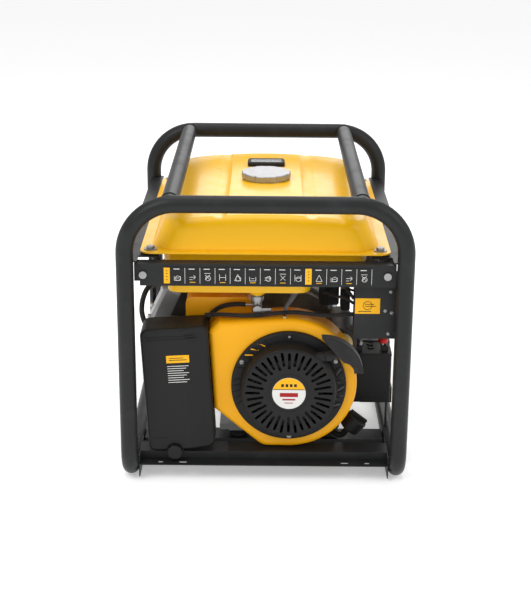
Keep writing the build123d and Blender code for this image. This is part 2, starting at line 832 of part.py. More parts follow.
def pull_line():
    """The direction in which the rope leaves the housing."""
    angle = radians(9.5)
    return Vector(cos(angle), 0, sin(angle))


def rope_outlet():
    """Where the rope leaves the housing."""
    line = pull_line()
    along = 77.0
    return (
        crank_x + line.X * along - line.Z * pulley_r,
        grip_y,
        crank_z + line.Z * along + line.X * pulley_r,
    )


def recoil_pulley():
    """The grooved rope pulley on the spindle of the housing."""
    front, back = recoil_front + 7, recoil_front + 21
    body = rod_y(crank_x, crank_z, pulley_r + 6, front, back)
    groove = rod_y(crank_x, crank_z, pulley_r + 7, front + 3, back - 3)
    groove -= rod_y(crank_x, crank_z, pulley_r - 5, front + 3, back - 3)
    body -= groove
    return body - rod_y(crank_x, crank_z, pulley_bore_r, front - 1, back + 1)


def recoil_rope():
    """The turns of rope wound in the groove of the pulley."""
    front, back = recoil_front + 7 + 3.3, recoil_front + 21 - 3.3
    ring = rod_y(crank_x, crank_z, pulley_r + rope_r, front, back)
    return ring - rod_y(crank_x, crank_z, pulley_r - 4.8, front - 1, back + 1)


def recoil_grip():
    """The crescent pull handle and its neck."""
    tip, heel = (129, 289), (184, 224)
    with BuildSketch(Plane.XZ) as outline:
        with BuildLine():
            ThreePointArc(tip, (168, 264), heel)
            Line(heel, (176, 219))
            ThreePointArc((176, 219), (155, 235), (138, 250))
            Line((138, 250), (128, 266))
            Line((128, 266), (123, 280))
            Line((123, 280), tip)
        make_face()
    body = extrude(Pos(0, grip_y, 0) * outline.sketch, amount=grip_depth / 2, both=True)
    body = fillet(body.faces().filter_by(Axis.Y).edges(), 3)
    start = Vector(*rope_outlet())
    return body + rod(tuple(start), tuple(start + pull_line() * 26), grip_neck_r)


# ---- air cleaner ----
def air_place():
    """The leaning frame that the air cleaner is built in."""
    return Pos(air_x, 0, air_z) * Rot(0, -air_lean, 0)


def air_shell(inset, y0, y1, slope):
    """The air cleaner as a filled shape, with the right part of its front falling away."""
    w, h = air_width / 2 - inset, air_height / 2 - inset
    with BuildSketch(Plane.XY.offset(-h)) as outline:
        with BuildLine():
            Polyline((-w, y1), (-w, y0), (18, y0), (w, y0 + slope), (w, y1), close=True)
        make_face()
    body = extrude(outline.sketch, amount=2 * h)
    return fillet(body.edges().filter_by(Axis.Y), 14 - inset)


def air_box_base():
    """The back half of the air cleaner, open to the front, with the way to the carburettor."""
    body = air_shell(0, air_seam + 0.2, air_back, 0)
    body -= air_shell(air_wall, air_seam - 5, air_back - air_wall, 0)
    body = air_place() * body
    x, z = port_centre()
    body -= rod_y(x, z, 14, air_back - 20, air_back + 5)
    return body + air_place() * rod_y(knob_x, knob_z, 7, hat_front_y + hat_lip + hat_width + 1, air_back)


def air_box_cover():
    """The front half of the air cleaner, with the lug for its knob."""
    body = air_shell(0, air_front, air_seam, 10)
    rim = [edge for edge in body.edges() if edge.center().Y < air_front + 12 and abs(edge.center().X - 18) > 8]
    body = fillet(rim, 5)
    body -= air_shell(air_wall, air_front + air_wall, air_seam + 5, 10)
    lug_front = air_front + knob_recess
    body -= rod_y(knob_x, knob_z, knob_r + 1.5, air_front - 5, lug_front)
    body += rod_y(knob_x, knob_z, knob_r + 2, lug_front, lug_front + 5)
    body -= rod_y(knob_x, knob_z, 3.3, air_front - 5, air_seam + 5)
    return air_place() * body


def air_box_knob():
    """The fluted knob that holds the cover."""
    outline = Circle(knob_r) - PolarLocations(knob_r + 2, 10) * Circle(3)
    plane = Plane(origin=(knob_x, air_front + knob_recess - 0.3, knob_z), z_dir=(0, -1, 0))
    body = extrude(plane * outline, amount=12)
    body = chamfer(body.edges().group_by(Axis.Y)[0], 1.2)
    body += rod_y(knob_x, knob_z, 3, air_front, air_seam - 0.3)
    return air_place() * body


def air_filter():
    """The foam element inside the air cleaner."""
    w, h = air_width / 2 - air_wall - 1.2, air_height / 2 - air_wall - 26
    return air_place() * Pos(0, 0, 10) * block(-w, w, air_seam - 12, air_seam + 14, -h, h)


# ---- alternator ----
def alternator_housing():
    """The drum of the alternator with its end bells, air windows and feet."""
    body = rod_y(crank_x, crank_z, alternator_r, alternator_front, alternator_back)
    inner = alternator_r - alternator_wall
    body -= rod_y(crank_x, crank_z, inner, alternator_front + 8, alternator_back - bell_thickness)
    body -= rod_y(crank_x, crank_z, 30, alternator_front - 1, alternator_front + 9)
    bell_front = alternator_back - bell_thickness
    body -= rod_y(crank_x, crank_z, bearing_r + shaft_clearance, bell_front - 1, alternator_back - 2)
    body -= rod_y(crank_x, crank_z, 14, alternator_back - bell_thickness, alternator_back + 1)
    for index in range(12):
        spoke = Pos(crank_x, 0, crank_z) * Rot(0, 30 * index, 0)
        body -= spoke * block(inner - 4, alternator_r + 4, -28, 0, -17, 17)
        body -= spoke * block(42, 82, alternator_back - bell_thickness - 1, alternator_back + 1, -9, 9)
    y0, y1 = alternator_foot_y - 15, alternator_foot_y + 15
    for side in (-1, 1):
        x = crank_x + side * alternator_mount_x
        foot = block(x - 26, x + 26, y0, y1, case_bottom, case_bottom + 8)
        foot += block(x - 6, x + 6, y0, y1, case_bottom, crank_z - 80)
        foot -= rod_y(crank_x, crank_z, alternator_r - 1, y0 - 1, y1 + 1)
        foot -= rod_z(x + side * 12, alternator_foot_y, tank_bolt_r + bolt_clearance, 40, 70)
        body += foot
    return body


def stator():
    """The laminated ring with the windings standing out at both ends."""
    outer = alternator_r - alternator_wall - weld_gap
    body = rod_y(crank_x, crank_z, outer, stator_front, stator_back)
    body += rod_y(crank_x, crank_z, 94, stator_front - 16, stator_back + 16)
    return body - rod_y(crank_x, crank_z, stator_bore_r, stator_front - 30, stator_back + 30)


def rotor():
    """The wound rotor with its cooling fan, and the bearing on the tail of the shaft."""
    r = stator_bore_r - air_gap
    body = rod_y(crank_x, crank_z, r, stator_front, stator_back)
    for index in range(2):
        for side in (-1, 1):
            turn = Pos(crank_x, 0, crank_z) * Rot(0, 90 + 180 * index, 0)
            body -= turn * block(24, 52, stator_front - 1, stator_back + 1, side * 24 - 8, side * 24 + 8)
    body += rod_y(crank_x, crank_z, 24, case_back + 22, alternator_back - 22)
    fan_y = case_back + 22
    body += rod_y(crank_x, crank_z, 96, fan_y, fan_y + 3)
    for index in range(12):
        blade = block(70, 95, fan_y - 10, fan_y + 1, -1.5, 1.5)
        body += Pos(crank_x, 0, crank_z) * Rot(0, 30 * index, 0) * blade
    body -= rod_y(crank_x, crank_z, 15, case_back, alternator_back)
    race_back = alternator_back - 2 - weld_gap
    race = rod_y(crank_x, crank_z, bearing_r, race_back - bearing_width + 0.4, race_back)
    return [body, race - rod_y(crank_x, crank_z, 10 + shaft_clearance, race_back - 20, race_back + 1)]


def alternator_cover():
    """The vented cover over the bearing and the brushes."""
    front = alternator_back + 0.3
    r = alternator_r - 6
    body = rod_y(crank_x, crank_z, r, front, end_cover_back)
    body = fillet(body.edges().group_by(Axis.Y)[-1], 14)
    body -= rod_y(crank_x, crank_z, r - 3, front - 1, end_cover_back - 18)
    body -= rod_y(crank_x, crank_z, r - 17, front - 1, end_cover_back - 3)
    for index in range(24):
        inner, outer = 34, 78
        slot = block(inner, outer, end_cover_back - 5, end_cover_back + 1, -2.4, 2.4)
        body -= Pos(crank_x, 0, crank_z) * Rot(0, 15 * index, 0) * slot
    return body


# ---- muffler ----
def muffler_block(inset):
    """The muffler can as a filled shape."""
    body = block(
        muffler_left + inset, muffler_right - inset, muffler_front + inset, muffler_back - inset,
        muffler_bottom + inset, muffler_top - inset,
    )
    body = fillet(body.edges().filter_by(Axis.Y), muffler_corner - inset)
    return fillet(body.edges().filter_by(GeomType.CIRCLE), muffler_edge - inset)


def muffler():
    """The pressed muffler with its inlet pipe and tailpipe."""
    body = muffler_block(0)
    x, z = port_centre()
    head_back = cylinder_y + head_half_depth + weld_gap
    body += rod_y(x, z, 18, head_back, muffler_front + 2)
    body += block(x - 34, x + 34, head_back, head_back + 8, z - 20, z + 20)
    tail_z = muffler_bottom + 40
    body += rod_y(x, tail_z, tailpipe_r, muffler_back - 2, muffler_back + 36)
    body -= rod_y(x, tail_z, tailpipe_r - 2, muffler_back + 4, muffler_back + 40)
    body -= rod_y(x, z, 14, head_back - 1, muffler_front + 10)
    return body - muffler_block(muffler_skin)


# ---- control box ----
def control_box():
    """The box between the hoops: a narrow body, a deeper nose and two hanger tabs."""
    body = block(box_left, box_right, box_front + 2, box_back, box_bottom, box_top)
    body += block(nose_left, box_right - 6, box_front, nose_back, box_bottom, box_top)
    body -= block(
        box_left + sheet, box_right + 1, box_front + 4, box_back - sheet, box_bottom + sheet, box_top - sheet,
    )
    top = tank_rail_top - 14
    x1 = tank_rail_edge - sheet - weld_gap
    for y in (box_front + 6, box_back - 30):
        body += block(box_right - 12, x1, y, y + 24, box_top - sheet, box_top + sheet - 1)
        body += block(x1 - sheet, x1, y, y + 24, box_top - sheet, top)
    return body


def control_panel():
    """The panel plate on the outer side of the box, with holes for its fittings."""
    inset = 3
    body = block(box_right + 0.1, panel_face, box_front + 4, box_back - 1, box_bottom + inset, box_top - inset)
    for y in socket_ys:
        body -= rod((box_right - 5, y, socket_z), (panel_face + 5, y, socket_z), socket_r - 5)
    body -= rod((box_right - 5, key_y, socket_z), (panel_face + 5, key_y, socket_z), 9)
    return body


def panel_fittings():
    """The meter, breaker body, terminals and socket bodies, each a separate solid."""
    x0 = panel_face + 0.1
    meter = block(x0, x0 + 7, meter_y - 22, meter_y + 22, socket_z - 22, socket_z + 22)
    meter -= block(x0 + 5, x0 + 9, meter_y - 17, meter_y + 17, socket_z - 6, socket_z + 17)
    breaker = block(x0, x0 + 8, breaker_y - 18, breaker_y + 18, socket_z - 32, socket_z + 32)
    breaker -= block(x0 + 1.5, x0 + 9, breaker_y - 9, breaker_y + 9, socket_z - 16, socket_z + 16)
    pieces = [meter, breaker]
    for y in terminal_ys:
        post = rod((x0, y, socket_z), (x0 + 3, y, socket_z), 10)
        pieces.append(post + rod((x0, y, socket_z), (x0 + 14, y, socket_z), 7))
    stud = rod((x0, earth_y, socket_z - 20), (x0 + 3, earth_y, socket_z - 20), 8)
    pieces.append(stud + rod((x0, earth_y, socket_z - 20), (x0 + 17, earth_y, socket_z - 20), 3))
    for y in socket_ys:
        flange = block(x0, x0 + 4, y - socket_r, y + socket_r, socket_z - socket_r - 4, socket_z + socket_r + 8)
        flange += rod((box_right - 16, y, socket_z), (x0 + 1, y, socket_z), socket_r - 5.3)
        flange -= rod((x0 - 10, y, socket_z), (x0 + 10, y, socket_z), socket_r - 8)
        pieces.append(flange)
    return pieces


def socket_lid(y):
    """A sprung lid over one socket, hinged along its top edge."""
    x0 = panel_face + 4.4
    top = socket_z + socket_r + 2
    lid = block(x0, x0 + lid_thickness, y - socket_r + 2, y + socket_r - 2, socket_z - socket_r, top)
    lid = fillet(lid.edges().filter_by(Axis.X), 6)
    barrel = rod((x0 + 2.2, y - 14, top + 1), (x0 + 2.2, y + 14, top + 1), 2.2)
    return lid + barrel


def breaker_toggle():
    """The toggle of the circuit breaker."""
    x = panel_face + 6
    body = rod((x, breaker_y - 8.5, socket_z), (x, breaker_y + 8.5, socket_z), 4)
    return body + block(x, x + 12, breaker_y - 8, breaker_y + 8, socket_z - 8, socket_z - 3)


def key_switch():
    """The key in its barrel."""
    x0 = panel_face - 1
    body = rod((x0 - 12, key_y, socket_z), (x0 + 4, key_y, socket_z), 8.9)
    return body + block(x0 + 2, x0 + 19, key_y - 1.5, key_y + 1.5, socket_z - 12, socket_z + 12)


# ---- battery ----
def battery():
    """The starter battery with its two posts."""
    right = battery_left + battery_width
    back = battery_front + battery_length
    top = battery_bottom + battery_height
    body = block(battery_left, right, battery_front, back, battery_bottom, top)
    body = fillet(body.edges().filter_by(Axis.Z), 4)
    for x in (battery_left + 14, right - 14):
        body += block(x - 7, x + 7, battery_front + 8, battery_front + 22, top - 1, top + 12)
    return body


def battery_tray():
    """The shelf and upright that carry the battery on the bottom rail."""
    right = battery_left + battery_width
    back = battery_front + battery_length
    z1 = battery_bottom - 0.3
    body = block(battery_left + 20, leg_x + 2, battery_front + 6, back - 6, z1 - 3, z1)
    body += block(right + 0.3, right + 3.3, battery_front + 6, back - 6, z1 - 3, z1 + 30)
    body += block(leg_x - 9, leg_x - 5, battery_front + 20, back - 20, 2 * tube_r - 6, z1)
    cut = rod_y(leg_x, tube_r, tube_r + weld_gap, -hoop_y, hoop_y)
    return body - cut


# ---- wiring ----
def wiring_harness():
    """The harness trunk, the two battery leads and the plug lead, each a separate solid."""
    top = battery_bottom + battery_height + 12.3
    along = deck_height + weld_gap + head_length / 2
    plug_top = slant * Pos(along, 58.3 + 16.4, 30)
    plug = plug_top.position
    trunk = cable(
        [
            (nose_left - 0.3, -272, 322), (143, -272, 321), (120, -266, 316), (90, -260, 317), (56, -259, 321),
            (20, -259, 318.5), (-14, -262, 315), (-48, -261, 313.5), (-82, -256, 314), (-113, -250, 310.5),
        ],
        4.0,
    )
    x_plus = battery_left + 14
    x_minus = battery_left + battery_width - 14
    y = battery_front + 15
    positive = cable(
        [
            (x_plus, y, top), (x_plus, y, top + 16),
            (x_plus + 4, y - 20, top + 26), (x_plus + 5, y - 22, top + 42.8),
        ],
        3.5,
    )
    negative = cable(
        [
            (x_minus, y, top), (x_minus, y, top + 24),
            (x_minus + 2, y - 6, top + 46), (x_minus, y - 4, box_bottom - 0.6),
        ],
        3.5,
    )
    boot_dir = Vector(sin(lean), 0, cos(lean))
    cap = rod(tuple(plug), tuple(plug + boot_dir * 12), 8)
    lead = cable([tuple(plug + boot_dir * 6 + Vector(8.2, 0, 0)), tuple(plug + Vector(30, -8, 8)),
                  tuple(plug + Vector(54, -30, -2)), tuple(plug + Vector(66, -60, -14))], 3.5)
    return [trunk, positive, negative, cap, lead]


def breather_hose():
    """The breather from the rocker cover, round the left side, to the air cleaner."""
    points = [
        (-207, -158, 352), (-219, -170, 348), (-231, -184, 335), (-237, -197, 316),
        (-237, -207, 298), (-231, -214, 281), (-221, -221, 271), (-220.5, -235.6, 270.3),
    ]
    return cable(points, 5)


# ---- rubbers and fasteners ----
def mount_positions():
    """The four rubber mounts under the machine, as X and Y."""
    foot = alternator_mount_x + 12
    return [
        (crank_x - engine_mount_x, engine_mount_y),
        (crank_x + engine_mount_x - 12, engine_mount_y),
        (crank_x - foot, alternator_foot_y),
        (crank_x + foot, alternator_foot_y),
    ]


def rubber_mounts():
    """Four bobbins under the machine and four washers under the tank."""
    pieces = []
    for x, y in mount_positions():
        bobbin = rod_z(x, y, mount_r, beam_top + 0.1, case_bottom - 0.1)
        waist = rod_z(x, y, mount_r + 1, 33, 43) - rod_z(x, y, mount_r - 4, 33, 43)
        pieces.append(bobbin - waist - rod_z(x, y, tank_bolt_r + bolt_clearance, 0, 60))
    for x in (-tank_bolt_x, tank_bolt_x):
        for y in (-tank_bolt_y, tank_bolt_y):
            washer = rod_z(x, y, 15, tank_rail_top + 0.1, tank_seam - tank_skin - 0.1)
            pieces.append(washer - rod_z(x, y, tank_bolt_r + bolt_clearance, 430, 450))
    return pieces


def fasteners():
    """Tank bolts, mount bolts and the two pan screws of the front plate."""
    pieces = []
    head_seat = tank_seam + tank_skin + 0.1
    for x in (-tank_bolt_x, tank_bolt_x):
        for y in (-tank_bolt_y, tank_bolt_y):
            bolt = rod_z(x, y, tank_bolt_r, tank_rail_top - 14, head_seat + 3)
            bolt += rod_z(x, y, 12, head_seat, head_seat + 2)
            pieces.append(bolt + hexagon_head((x, y, head_seat + 2), (0, 0, 1), 13, 5))
    for x, y in mount_positions():
        seat = beam_top - sheet - 0.1
        bolt = rod_z(x, y, tank_bolt_r, seat - 3, case_bottom + 7)
        pieces.append(bolt + hexagon_head((x, y, seat), (0, 0, -1), 13, 5))
    for x in (-222, 222):
        screw = rod_y(x, 412, 3, plate_front - 1, plate_front + 12)
        pieces.append(screw + rod_y(x, 412, 7, plate_front - 4, plate_front - 0.1))
    return pieces


# ---- build ----
save("front_hoop", hoop(-1))
save("rear_hoop", hoop(1))
save("bottom_rail_left", bottom_rail(-1))
save("bottom_rail_right", bottom_rail(1))
save("top_tubes", top_tube(-1), top_tube(1))
save("tank_rails", tank_rail(-1), tank_rail(1))
save("front_crossmember", hat_crossmember(hat_front_y, 1))
save("rear_crossmember", hat_crossmember(-hat_front_y, -1))
engine_xs = [x for x, y in mount_positions() if y < 0]
alternator_xs = [x for x, y in mount_positions() if y > 0]
save("mount_beams", mount_beam(engine_mount_y, engine_xs), mount_beam(alternator_foot_y, alternator_xs))
save("front_plate", front_plate())
save("instruction_plate", instruction_plate())
save("tank_upper", tank_upper())
save("tank_lower", tank_lower())
save("fuel_cap", fuel_cap())
save("cap_seal", cap_seal())
save("fuel_gauge", fuel_gauge())
save("gauge_lens", gauge_lens())
save("gauge_pointer", gauge_pointer())
save("fuel_tap", fuel_tap())
save("fuel_tap_lever", fuel_tap_lever())
save("fuel_hose", fuel_hose())
save("crankcase", crankcase())
save("cylinder_head", cylinder_head())
save("rocker_cover", rocker_cover())
save("spark_plug", spark_plug())
save("piston", piston())
save("crankshaft", crankshaft())
save("flywheel", flywheel())
save("carburettor", carburettor())
save("choke_lever", choke_lever())
save("starter_motor", starter_motor())
save("oil_filler", oil_filler())
save("oil_cap", oil_cap())
save("fan_shroud", fan_shroud())
save("recoil_housing", recoil_housing())
save("recoil_pulley", recoil_pulley())
save("recoil_rope", recoil_rope())
save("recoil_grip", recoil_grip())
save("air_box_base", air_box_base())
save("air_box_cover", air_box_cover())
save("air_box_knob", air_box_knob())
save("air_filter", air_filter())
save("alternator_housing", alternator_housing())
save("stator", stator())
save("rotor", *rotor())
save("alternator_cover", alternator_cover())
save("muffler", muffler())
save("control_box", control_box())
save("control_panel", control_panel())
save("panel_fittings", *panel_fittings())
save("socket_lid_front", socket_lid(socket_ys[0]))
save("socket_lid_rear", socket_lid(socket_ys[1]))
save("breaker_toggle", breaker_toggle())
save("key_switch", key_switch())
save("battery", battery())
save("battery_tray", battery_tray())
save("wiring_harness", *wiring_harness())
save("breather_hose", breather_hose())
save("rubber_mounts", *rubber_mounts())
save("fasteners", *fasteners())
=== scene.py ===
"""An open-frame portable generator, dressed and detailed on its fixed CAD frame."""
import json
import logging
import math
from dataclasses import dataclass
from enum import Enum
from typing import Callable, Iterable, Sequence

import bpy
from mathutils import Matrix, Vector


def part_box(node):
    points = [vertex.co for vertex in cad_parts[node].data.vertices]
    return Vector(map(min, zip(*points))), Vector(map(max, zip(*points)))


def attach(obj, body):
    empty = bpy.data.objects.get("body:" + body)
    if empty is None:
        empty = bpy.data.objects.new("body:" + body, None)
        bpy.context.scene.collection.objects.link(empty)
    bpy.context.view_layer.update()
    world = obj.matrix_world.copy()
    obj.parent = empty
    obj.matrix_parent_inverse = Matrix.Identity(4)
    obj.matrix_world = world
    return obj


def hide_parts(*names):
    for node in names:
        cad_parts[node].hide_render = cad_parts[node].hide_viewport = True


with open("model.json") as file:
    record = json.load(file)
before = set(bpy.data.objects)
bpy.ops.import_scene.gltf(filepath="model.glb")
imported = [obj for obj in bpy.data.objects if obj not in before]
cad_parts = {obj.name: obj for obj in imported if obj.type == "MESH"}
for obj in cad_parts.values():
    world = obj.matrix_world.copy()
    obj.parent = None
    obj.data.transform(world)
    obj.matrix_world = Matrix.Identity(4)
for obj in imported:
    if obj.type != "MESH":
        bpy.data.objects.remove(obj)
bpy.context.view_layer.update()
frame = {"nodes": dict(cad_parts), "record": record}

log = logging.getLogger("generator")

MM = 0.001
SMOOTH_ANGLE = math.radians(38)
Point = tuple[float, float, float]
Colour = tuple[float, float, float]

FRONT: Point = (0, -1, 0)
BACK: Point = (0, 1, 0)
RIGHT: Point = (1, 0, 0)
LEFT: Point = (-1, 0, 0)
UP: Point = (0, 0, 1)

BLACK: Colour = (0.009, 0.009, 0.0095)
CHARCOAL: Colour = (0.017, 0.0175, 0.018)
TANK_YELLOW: Colour = (0.94, 0.50, 0.002)
SHROUD_YELLOW: Colour = (0.88, 0.41, 0.001)
PRINT_YELLOW: Colour = (0.86, 0.44, 0.01)
PRINT_WHITE: Colour = (0.72, 0.72, 0.70)
ZINC: Colour = (0.40, 0.40, 0.40)


# ---- shader arithmetic and mixing ----
class Field:
    """A number that varies over a surface, with its arithmetic written as Python."""

    def __init__(self, paint: "Paint", socket: bpy.types.NodeSocket) -> None:
        """Hold the socket that carries the number.

        Args:
            paint: The material that the socket belongs to.
            socket: The output that gives the number.
        """
        self.paint = paint
        self.socket = socket

    def _with(self, operation: str, first: object, second: object) -> "Field":
        """Add one Math node and return what it gives."""
        return self.paint.field("ShaderNodeMath", {"operation": operation}, {0: first, 1: second})

    def __add__(self, other: object) -> "Field":
        """Sum."""
        return self._with("ADD", self, other)

    def __radd__(self, other: object) -> "Field":
        """Reflected sum."""
        return self._with("ADD", other, self)

    def __sub__(self, other: object) -> "Field":
        """Difference."""
        return self._with("SUBTRACT", self, other)

    def __rsub__(self, other: object) -> "Field":
        """Reflected difference."""
        return self._with("SUBTRACT", other, self)

    def __mul__(self, other: object) -> "Field":
        """Product."""
        return self._with("MULTIPLY", self, other)

    def __rmul__(self, other: object) -> "Field":
        """Reflected product."""
        return self._with("MULTIPLY", other, self)

    def over(self, low: float, high: float, start: float = 0.0, end: float = 1.0) -> "Field":
        """Rescale from one range to another and hold it there.

        Args:
            low: Value that becomes start.
            high: Value that becomes end.
            start: Result at low.
            end: Result at high.

        Returns:
            The rescaled field.
        """
        sockets = {0: self, 1: low, 2: high, 3: start, 4: end}
        return self.paint.field("ShaderNodeMapRange", {"clamp": True}, sockets)


class Paint:
    """A material being mixed: its node tree, its surface shader and its place on the object."""

    def __init__(self, name: str, roughness: float, metallic: float = 0.0, sheen: float = 0.22) -> None:
        """Start a material.

        Args:
            name: Name of the finish.
            roughness: Roughness where nothing else sets it.
            metallic: One for bare metal.
            sheen: How strongly a finish that isn't metal mirrors its surroundings.
        """
        self.material = bpy.data.materials.new(name)
        self.material.use_nodes = True
        self.tree = self.material.node_tree
        self.shader = self.tree.nodes["Principled BSDF"]
        self.set("Roughness", roughness)
        self.set("Metallic", metallic)
        self.set("Specular IOR Level", sheen)
        self.place = self.node("ShaderNodeTexCoord").outputs["Object"]

    def node(self, kind: str, settings: dict | None = None, sockets: dict | None = None) -> bpy.types.Node:
        """Add a node.

        Args:
            kind: The node's type.
            settings: Properties, set first.
            sockets: Values or links, by input name or number.

        Returns:
            The node.
        """
        made = self.tree.nodes.new(kind)
        for key, value in (settings or {}).items():
            setattr(made, key, value)
        for key, value in (sockets or {}).items():
            self.put(made.inputs[key], value)
        return made

    def put(self, socket: bpy.types.NodeSocket, value: object) -> None:
        """Link a field or socket to an input, or set its value.

        Args:
            socket: The input.
            value: A field, a socket, or a plain value.
        """
        value = value.socket if isinstance(value, Field) else value
        if isinstance(value, bpy.types.NodeSocket):
            self.tree.links.new(value, socket)
        else:
            socket.default_value = value

    def set(self, name: str, value: object) -> None:
        """Set one input of the surface shader.

        Args:
            name: The input's name.
            value: A field, a socket, a number or a colour.
        """
        if isinstance(value, tuple):
            value = (*value, 1.0)
        self.put(self.shader.inputs[name], value)

    def field(self, kind: str, settings: dict | None = None, sockets: dict | None = None) -> Field:
        """Add a node and return its first output as a field."""
        return Field(self, self.node(kind, settings, sockets).outputs[0])

    def stretched(self, scale: Point) -> bpy.types.NodeSocket:
        """The place on the object, scaled differently along each axis."""
        return self.node("ShaderNodeMapping", None, {"Vector": self.place, "Scale": scale}).outputs[0]

    def noise(self, scale: float, detail: float = 3.0, vector: object = None) -> Field:
        """Cloudy variation, with scale in waves a metre."""
        sockets = {"Vector": vector or self.place, "Scale": scale, "Detail": detail}
        return self.field("ShaderNodeTexNoise", None, sockets)

    def cells(self, scale: float) -> Field:
        """Distance to the nearest of many scattered points."""
        return self.field("ShaderNodeTexVoronoi", None, {"Vector": self.place, "Scale": scale})

    def facing_up(self) -> Field:
        """Tell the surfaces that look upwards.

        Returns:
            One on them, and zero on the rest.
        """
        normal = self.node("ShaderNodeNewGeometry").outputs["Normal"]
        split = self.node("ShaderNodeSeparateXYZ", None, {0: normal})
        return Field(self, split.outputs["Z"]).over(0.2, 1.0)

    def blend(self, first: Colour, second: Colour, amount: Field) -> bpy.types.NodeSocket:
        """A colour between two, by a field."""
        sockets = {0: amount, 6: (*first, 1.0), 7: (*second, 1.0)}
        return self.node("ShaderNodeMix", {"data_type": "RGBA"}, sockets).outputs[2]

    def bump(self, height: Field, depth: float, strength: float = 1.0) -> None:
        """Raise the surface by a field.

        Args:
            height: Zero to one.
            depth: Height of one, in metres.
            strength: Share of the effect.
        """
        sockets = {"Height": height, "Distance": depth, "Strength": strength}
        self.put(self.shader.inputs["Normal"], self.node("ShaderNodeBump", None, sockets).outputs[0])


@dataclass(frozen=True)
class Finish:
    """One finish: a base colour, a second tone and how it is worked."""

    colour: Colour
    tone: Colour
    roughness: float

    def metal(self) -> float:
        """Share of bare metal."""
        return 0.0

    def work(self, paint: Paint) -> None:
        """Give the paint its colour, roughness and relief."""
        raise NotImplementedError

    def mix(self, name: str) -> bpy.types.Material:
        """Mix the material.

        Args:
            name: Name of the material.

        Returns:
            The mixed material.
        """
        paint = Paint(name, self.roughness, self.metal())
        self.work(paint)
        return paint.material


@dataclass(frozen=True)
class GlossEnamel(Finish):
    """Sprayed enamel under a clear coat, with a faint orange peel and settled dust."""

    coat: float = 0.22
    peel: float = 0.00006

    def work(self, paint: Paint) -> None:
        """Mix the enamel.

        Args:
            paint: The material being mixed.
        """
        cloud = paint.noise(9.0, 2.0)
        dust = paint.facing_up() * paint.noise(60.0, 5.0).over(0.45, 0.8) * 0.12
        paint.set("Base Color", paint.blend(self.colour, self.tone, cloud * 0.5 + dust))
        paint.set("Roughness", paint.noise(30.0).over(0.3, 0.7, self.roughness * 0.8, self.roughness * 1.25))
        paint.set("Coat Weight", self.coat)
        paint.set("Coat Roughness", 0.12)
        paint.bump(paint.noise(420.0, 1.0), self.peel, 0.5)


@dataclass(frozen=True)
class PowderCoat(Finish):
    """Baked powder coat, finely pebbled, with rubbed patches."""

    def work(self, paint: Paint) -> None:
        """Mix the powder coat.

        Args:
            paint: The material being mixed.
        """
        pebble = paint.noise(1500.0, 2.0)
        rub = paint.noise(22.0, 6.0).over(0.52, 0.75)
        paint.set("Base Color", paint.blend(self.colour, self.tone, rub * 0.55 + pebble * 0.35))
        paint.set("Roughness", self.roughness + rub * 0.10 + pebble * 0.08)
        paint.bump(pebble, 0.00012, 0.6)


@dataclass(frozen=True)
class Moulded(Finish):
    """Moulded plastic with an etched grain and faint flow clouds."""

    grain: float = 900.0
    depth: float = 0.0001

    def work(self, paint: Paint) -> None:
        """Mix the plastic.

        Args:
            paint: The material being mixed.
        """
        etched = paint.cells(self.grain)
        cloud = paint.noise(14.0, 4.0)
        dust = paint.facing_up() * paint.noise(90.0, 6.0).over(0.5, 0.85) * 0.3
        paint.set("Base Color", paint.blend(self.colour, self.tone, cloud * 0.5 + dust))
        paint.set("Roughness", self.roughness + cloud * 0.10 + etched * 0.08)
        paint.bump(etched, self.depth, 0.55)


@dataclass(frozen=True)
class Rubber(Finish):
    """Matt rubber with bloom and talc in its skin."""

    def work(self, paint: Paint) -> None:
        """Mix the rubber.

        Args:
            paint: The material being mixed.
        """
        bloom = paint.noise(70.0, 6.0).over(0.45, 0.8)
        paint.set("Base Color", paint.blend(self.colour, self.tone, bloom * 0.6))
        paint.set("Roughness", self.roughness + bloom * 0.12)
        paint.set("Sheen Weight", 0.15)
        paint.bump(paint.noise(800.0, 3.0), 0.00012, 0.5)


@dataclass(frozen=True)
class Plated(Finish):
    """Plated or machined metal, with fine drawn lines one way and a mottled film."""

    drawn: Point = (1.0, 1.0, 18.0)
    line_depth: float = 0.00003

    def metal(self) -> float:
        """Share of bare metal."""
        return 1.0

    def work(self, paint: Paint) -> None:
        """Mix the metal.

        Args:
            paint: The material being mixed.
        """
        lines = paint.noise(260.0, 4.0, paint.stretched(self.drawn))
        film = paint.noise(45.0, 5.0)
        paint.set("Base Color", paint.blend(self.colour, self.tone, film * 0.6 + lines * 0.3))
        paint.set("Roughness", self.roughness + lines * 0.14 + film * 0.08)
        paint.bump(lines, self.line_depth, 0.5)


@dataclass(frozen=True)
class Cast(Finish):
    """Sand or die cast metal: a pebbled skin with dark pores and oily hollows."""

    grit: float = 520.0

    def metal(self) -> float:
        """Share of bare metal."""
        return 0.9

    def work(self, paint: Paint) -> None:
        """Mix the casting.

        Args:
            paint: The material being mixed.
        """
        skin = paint.noise(self.grit, 5.0)
        stain = paint.noise(18.0, 6.0).over(0.48, 0.72)
        paint.set("Base Color", paint.blend(self.colour, self.tone, stain * 0.7 + skin * 0.25))
        paint.set("Roughness", self.roughness + skin * 0.15 + stain * 0.1)
        paint.bump(skin, 0.0003, 0.7)


@dataclass(frozen=True)
class Clear(Finish):
    """Clear moulded window."""

    def work(self, paint: Paint) -> None:
        """Mix the window.

        Args:
            paint: The material being mixed.
        """
        haze = paint.noise(40.0, 5.0)
        paint.set("Base Color", paint.blend(self.colour, self.tone, haze))
        paint.set("Roughness", haze.over(0.3, 0.8, self.roughness, self.roughness + 0.08))
        paint.set("Alpha", haze.over(0.3, 0.8, 0.28, 0.36))
        paint.set("IOR", 1.49)
        paint.set("Specular IOR Level", 0.5)


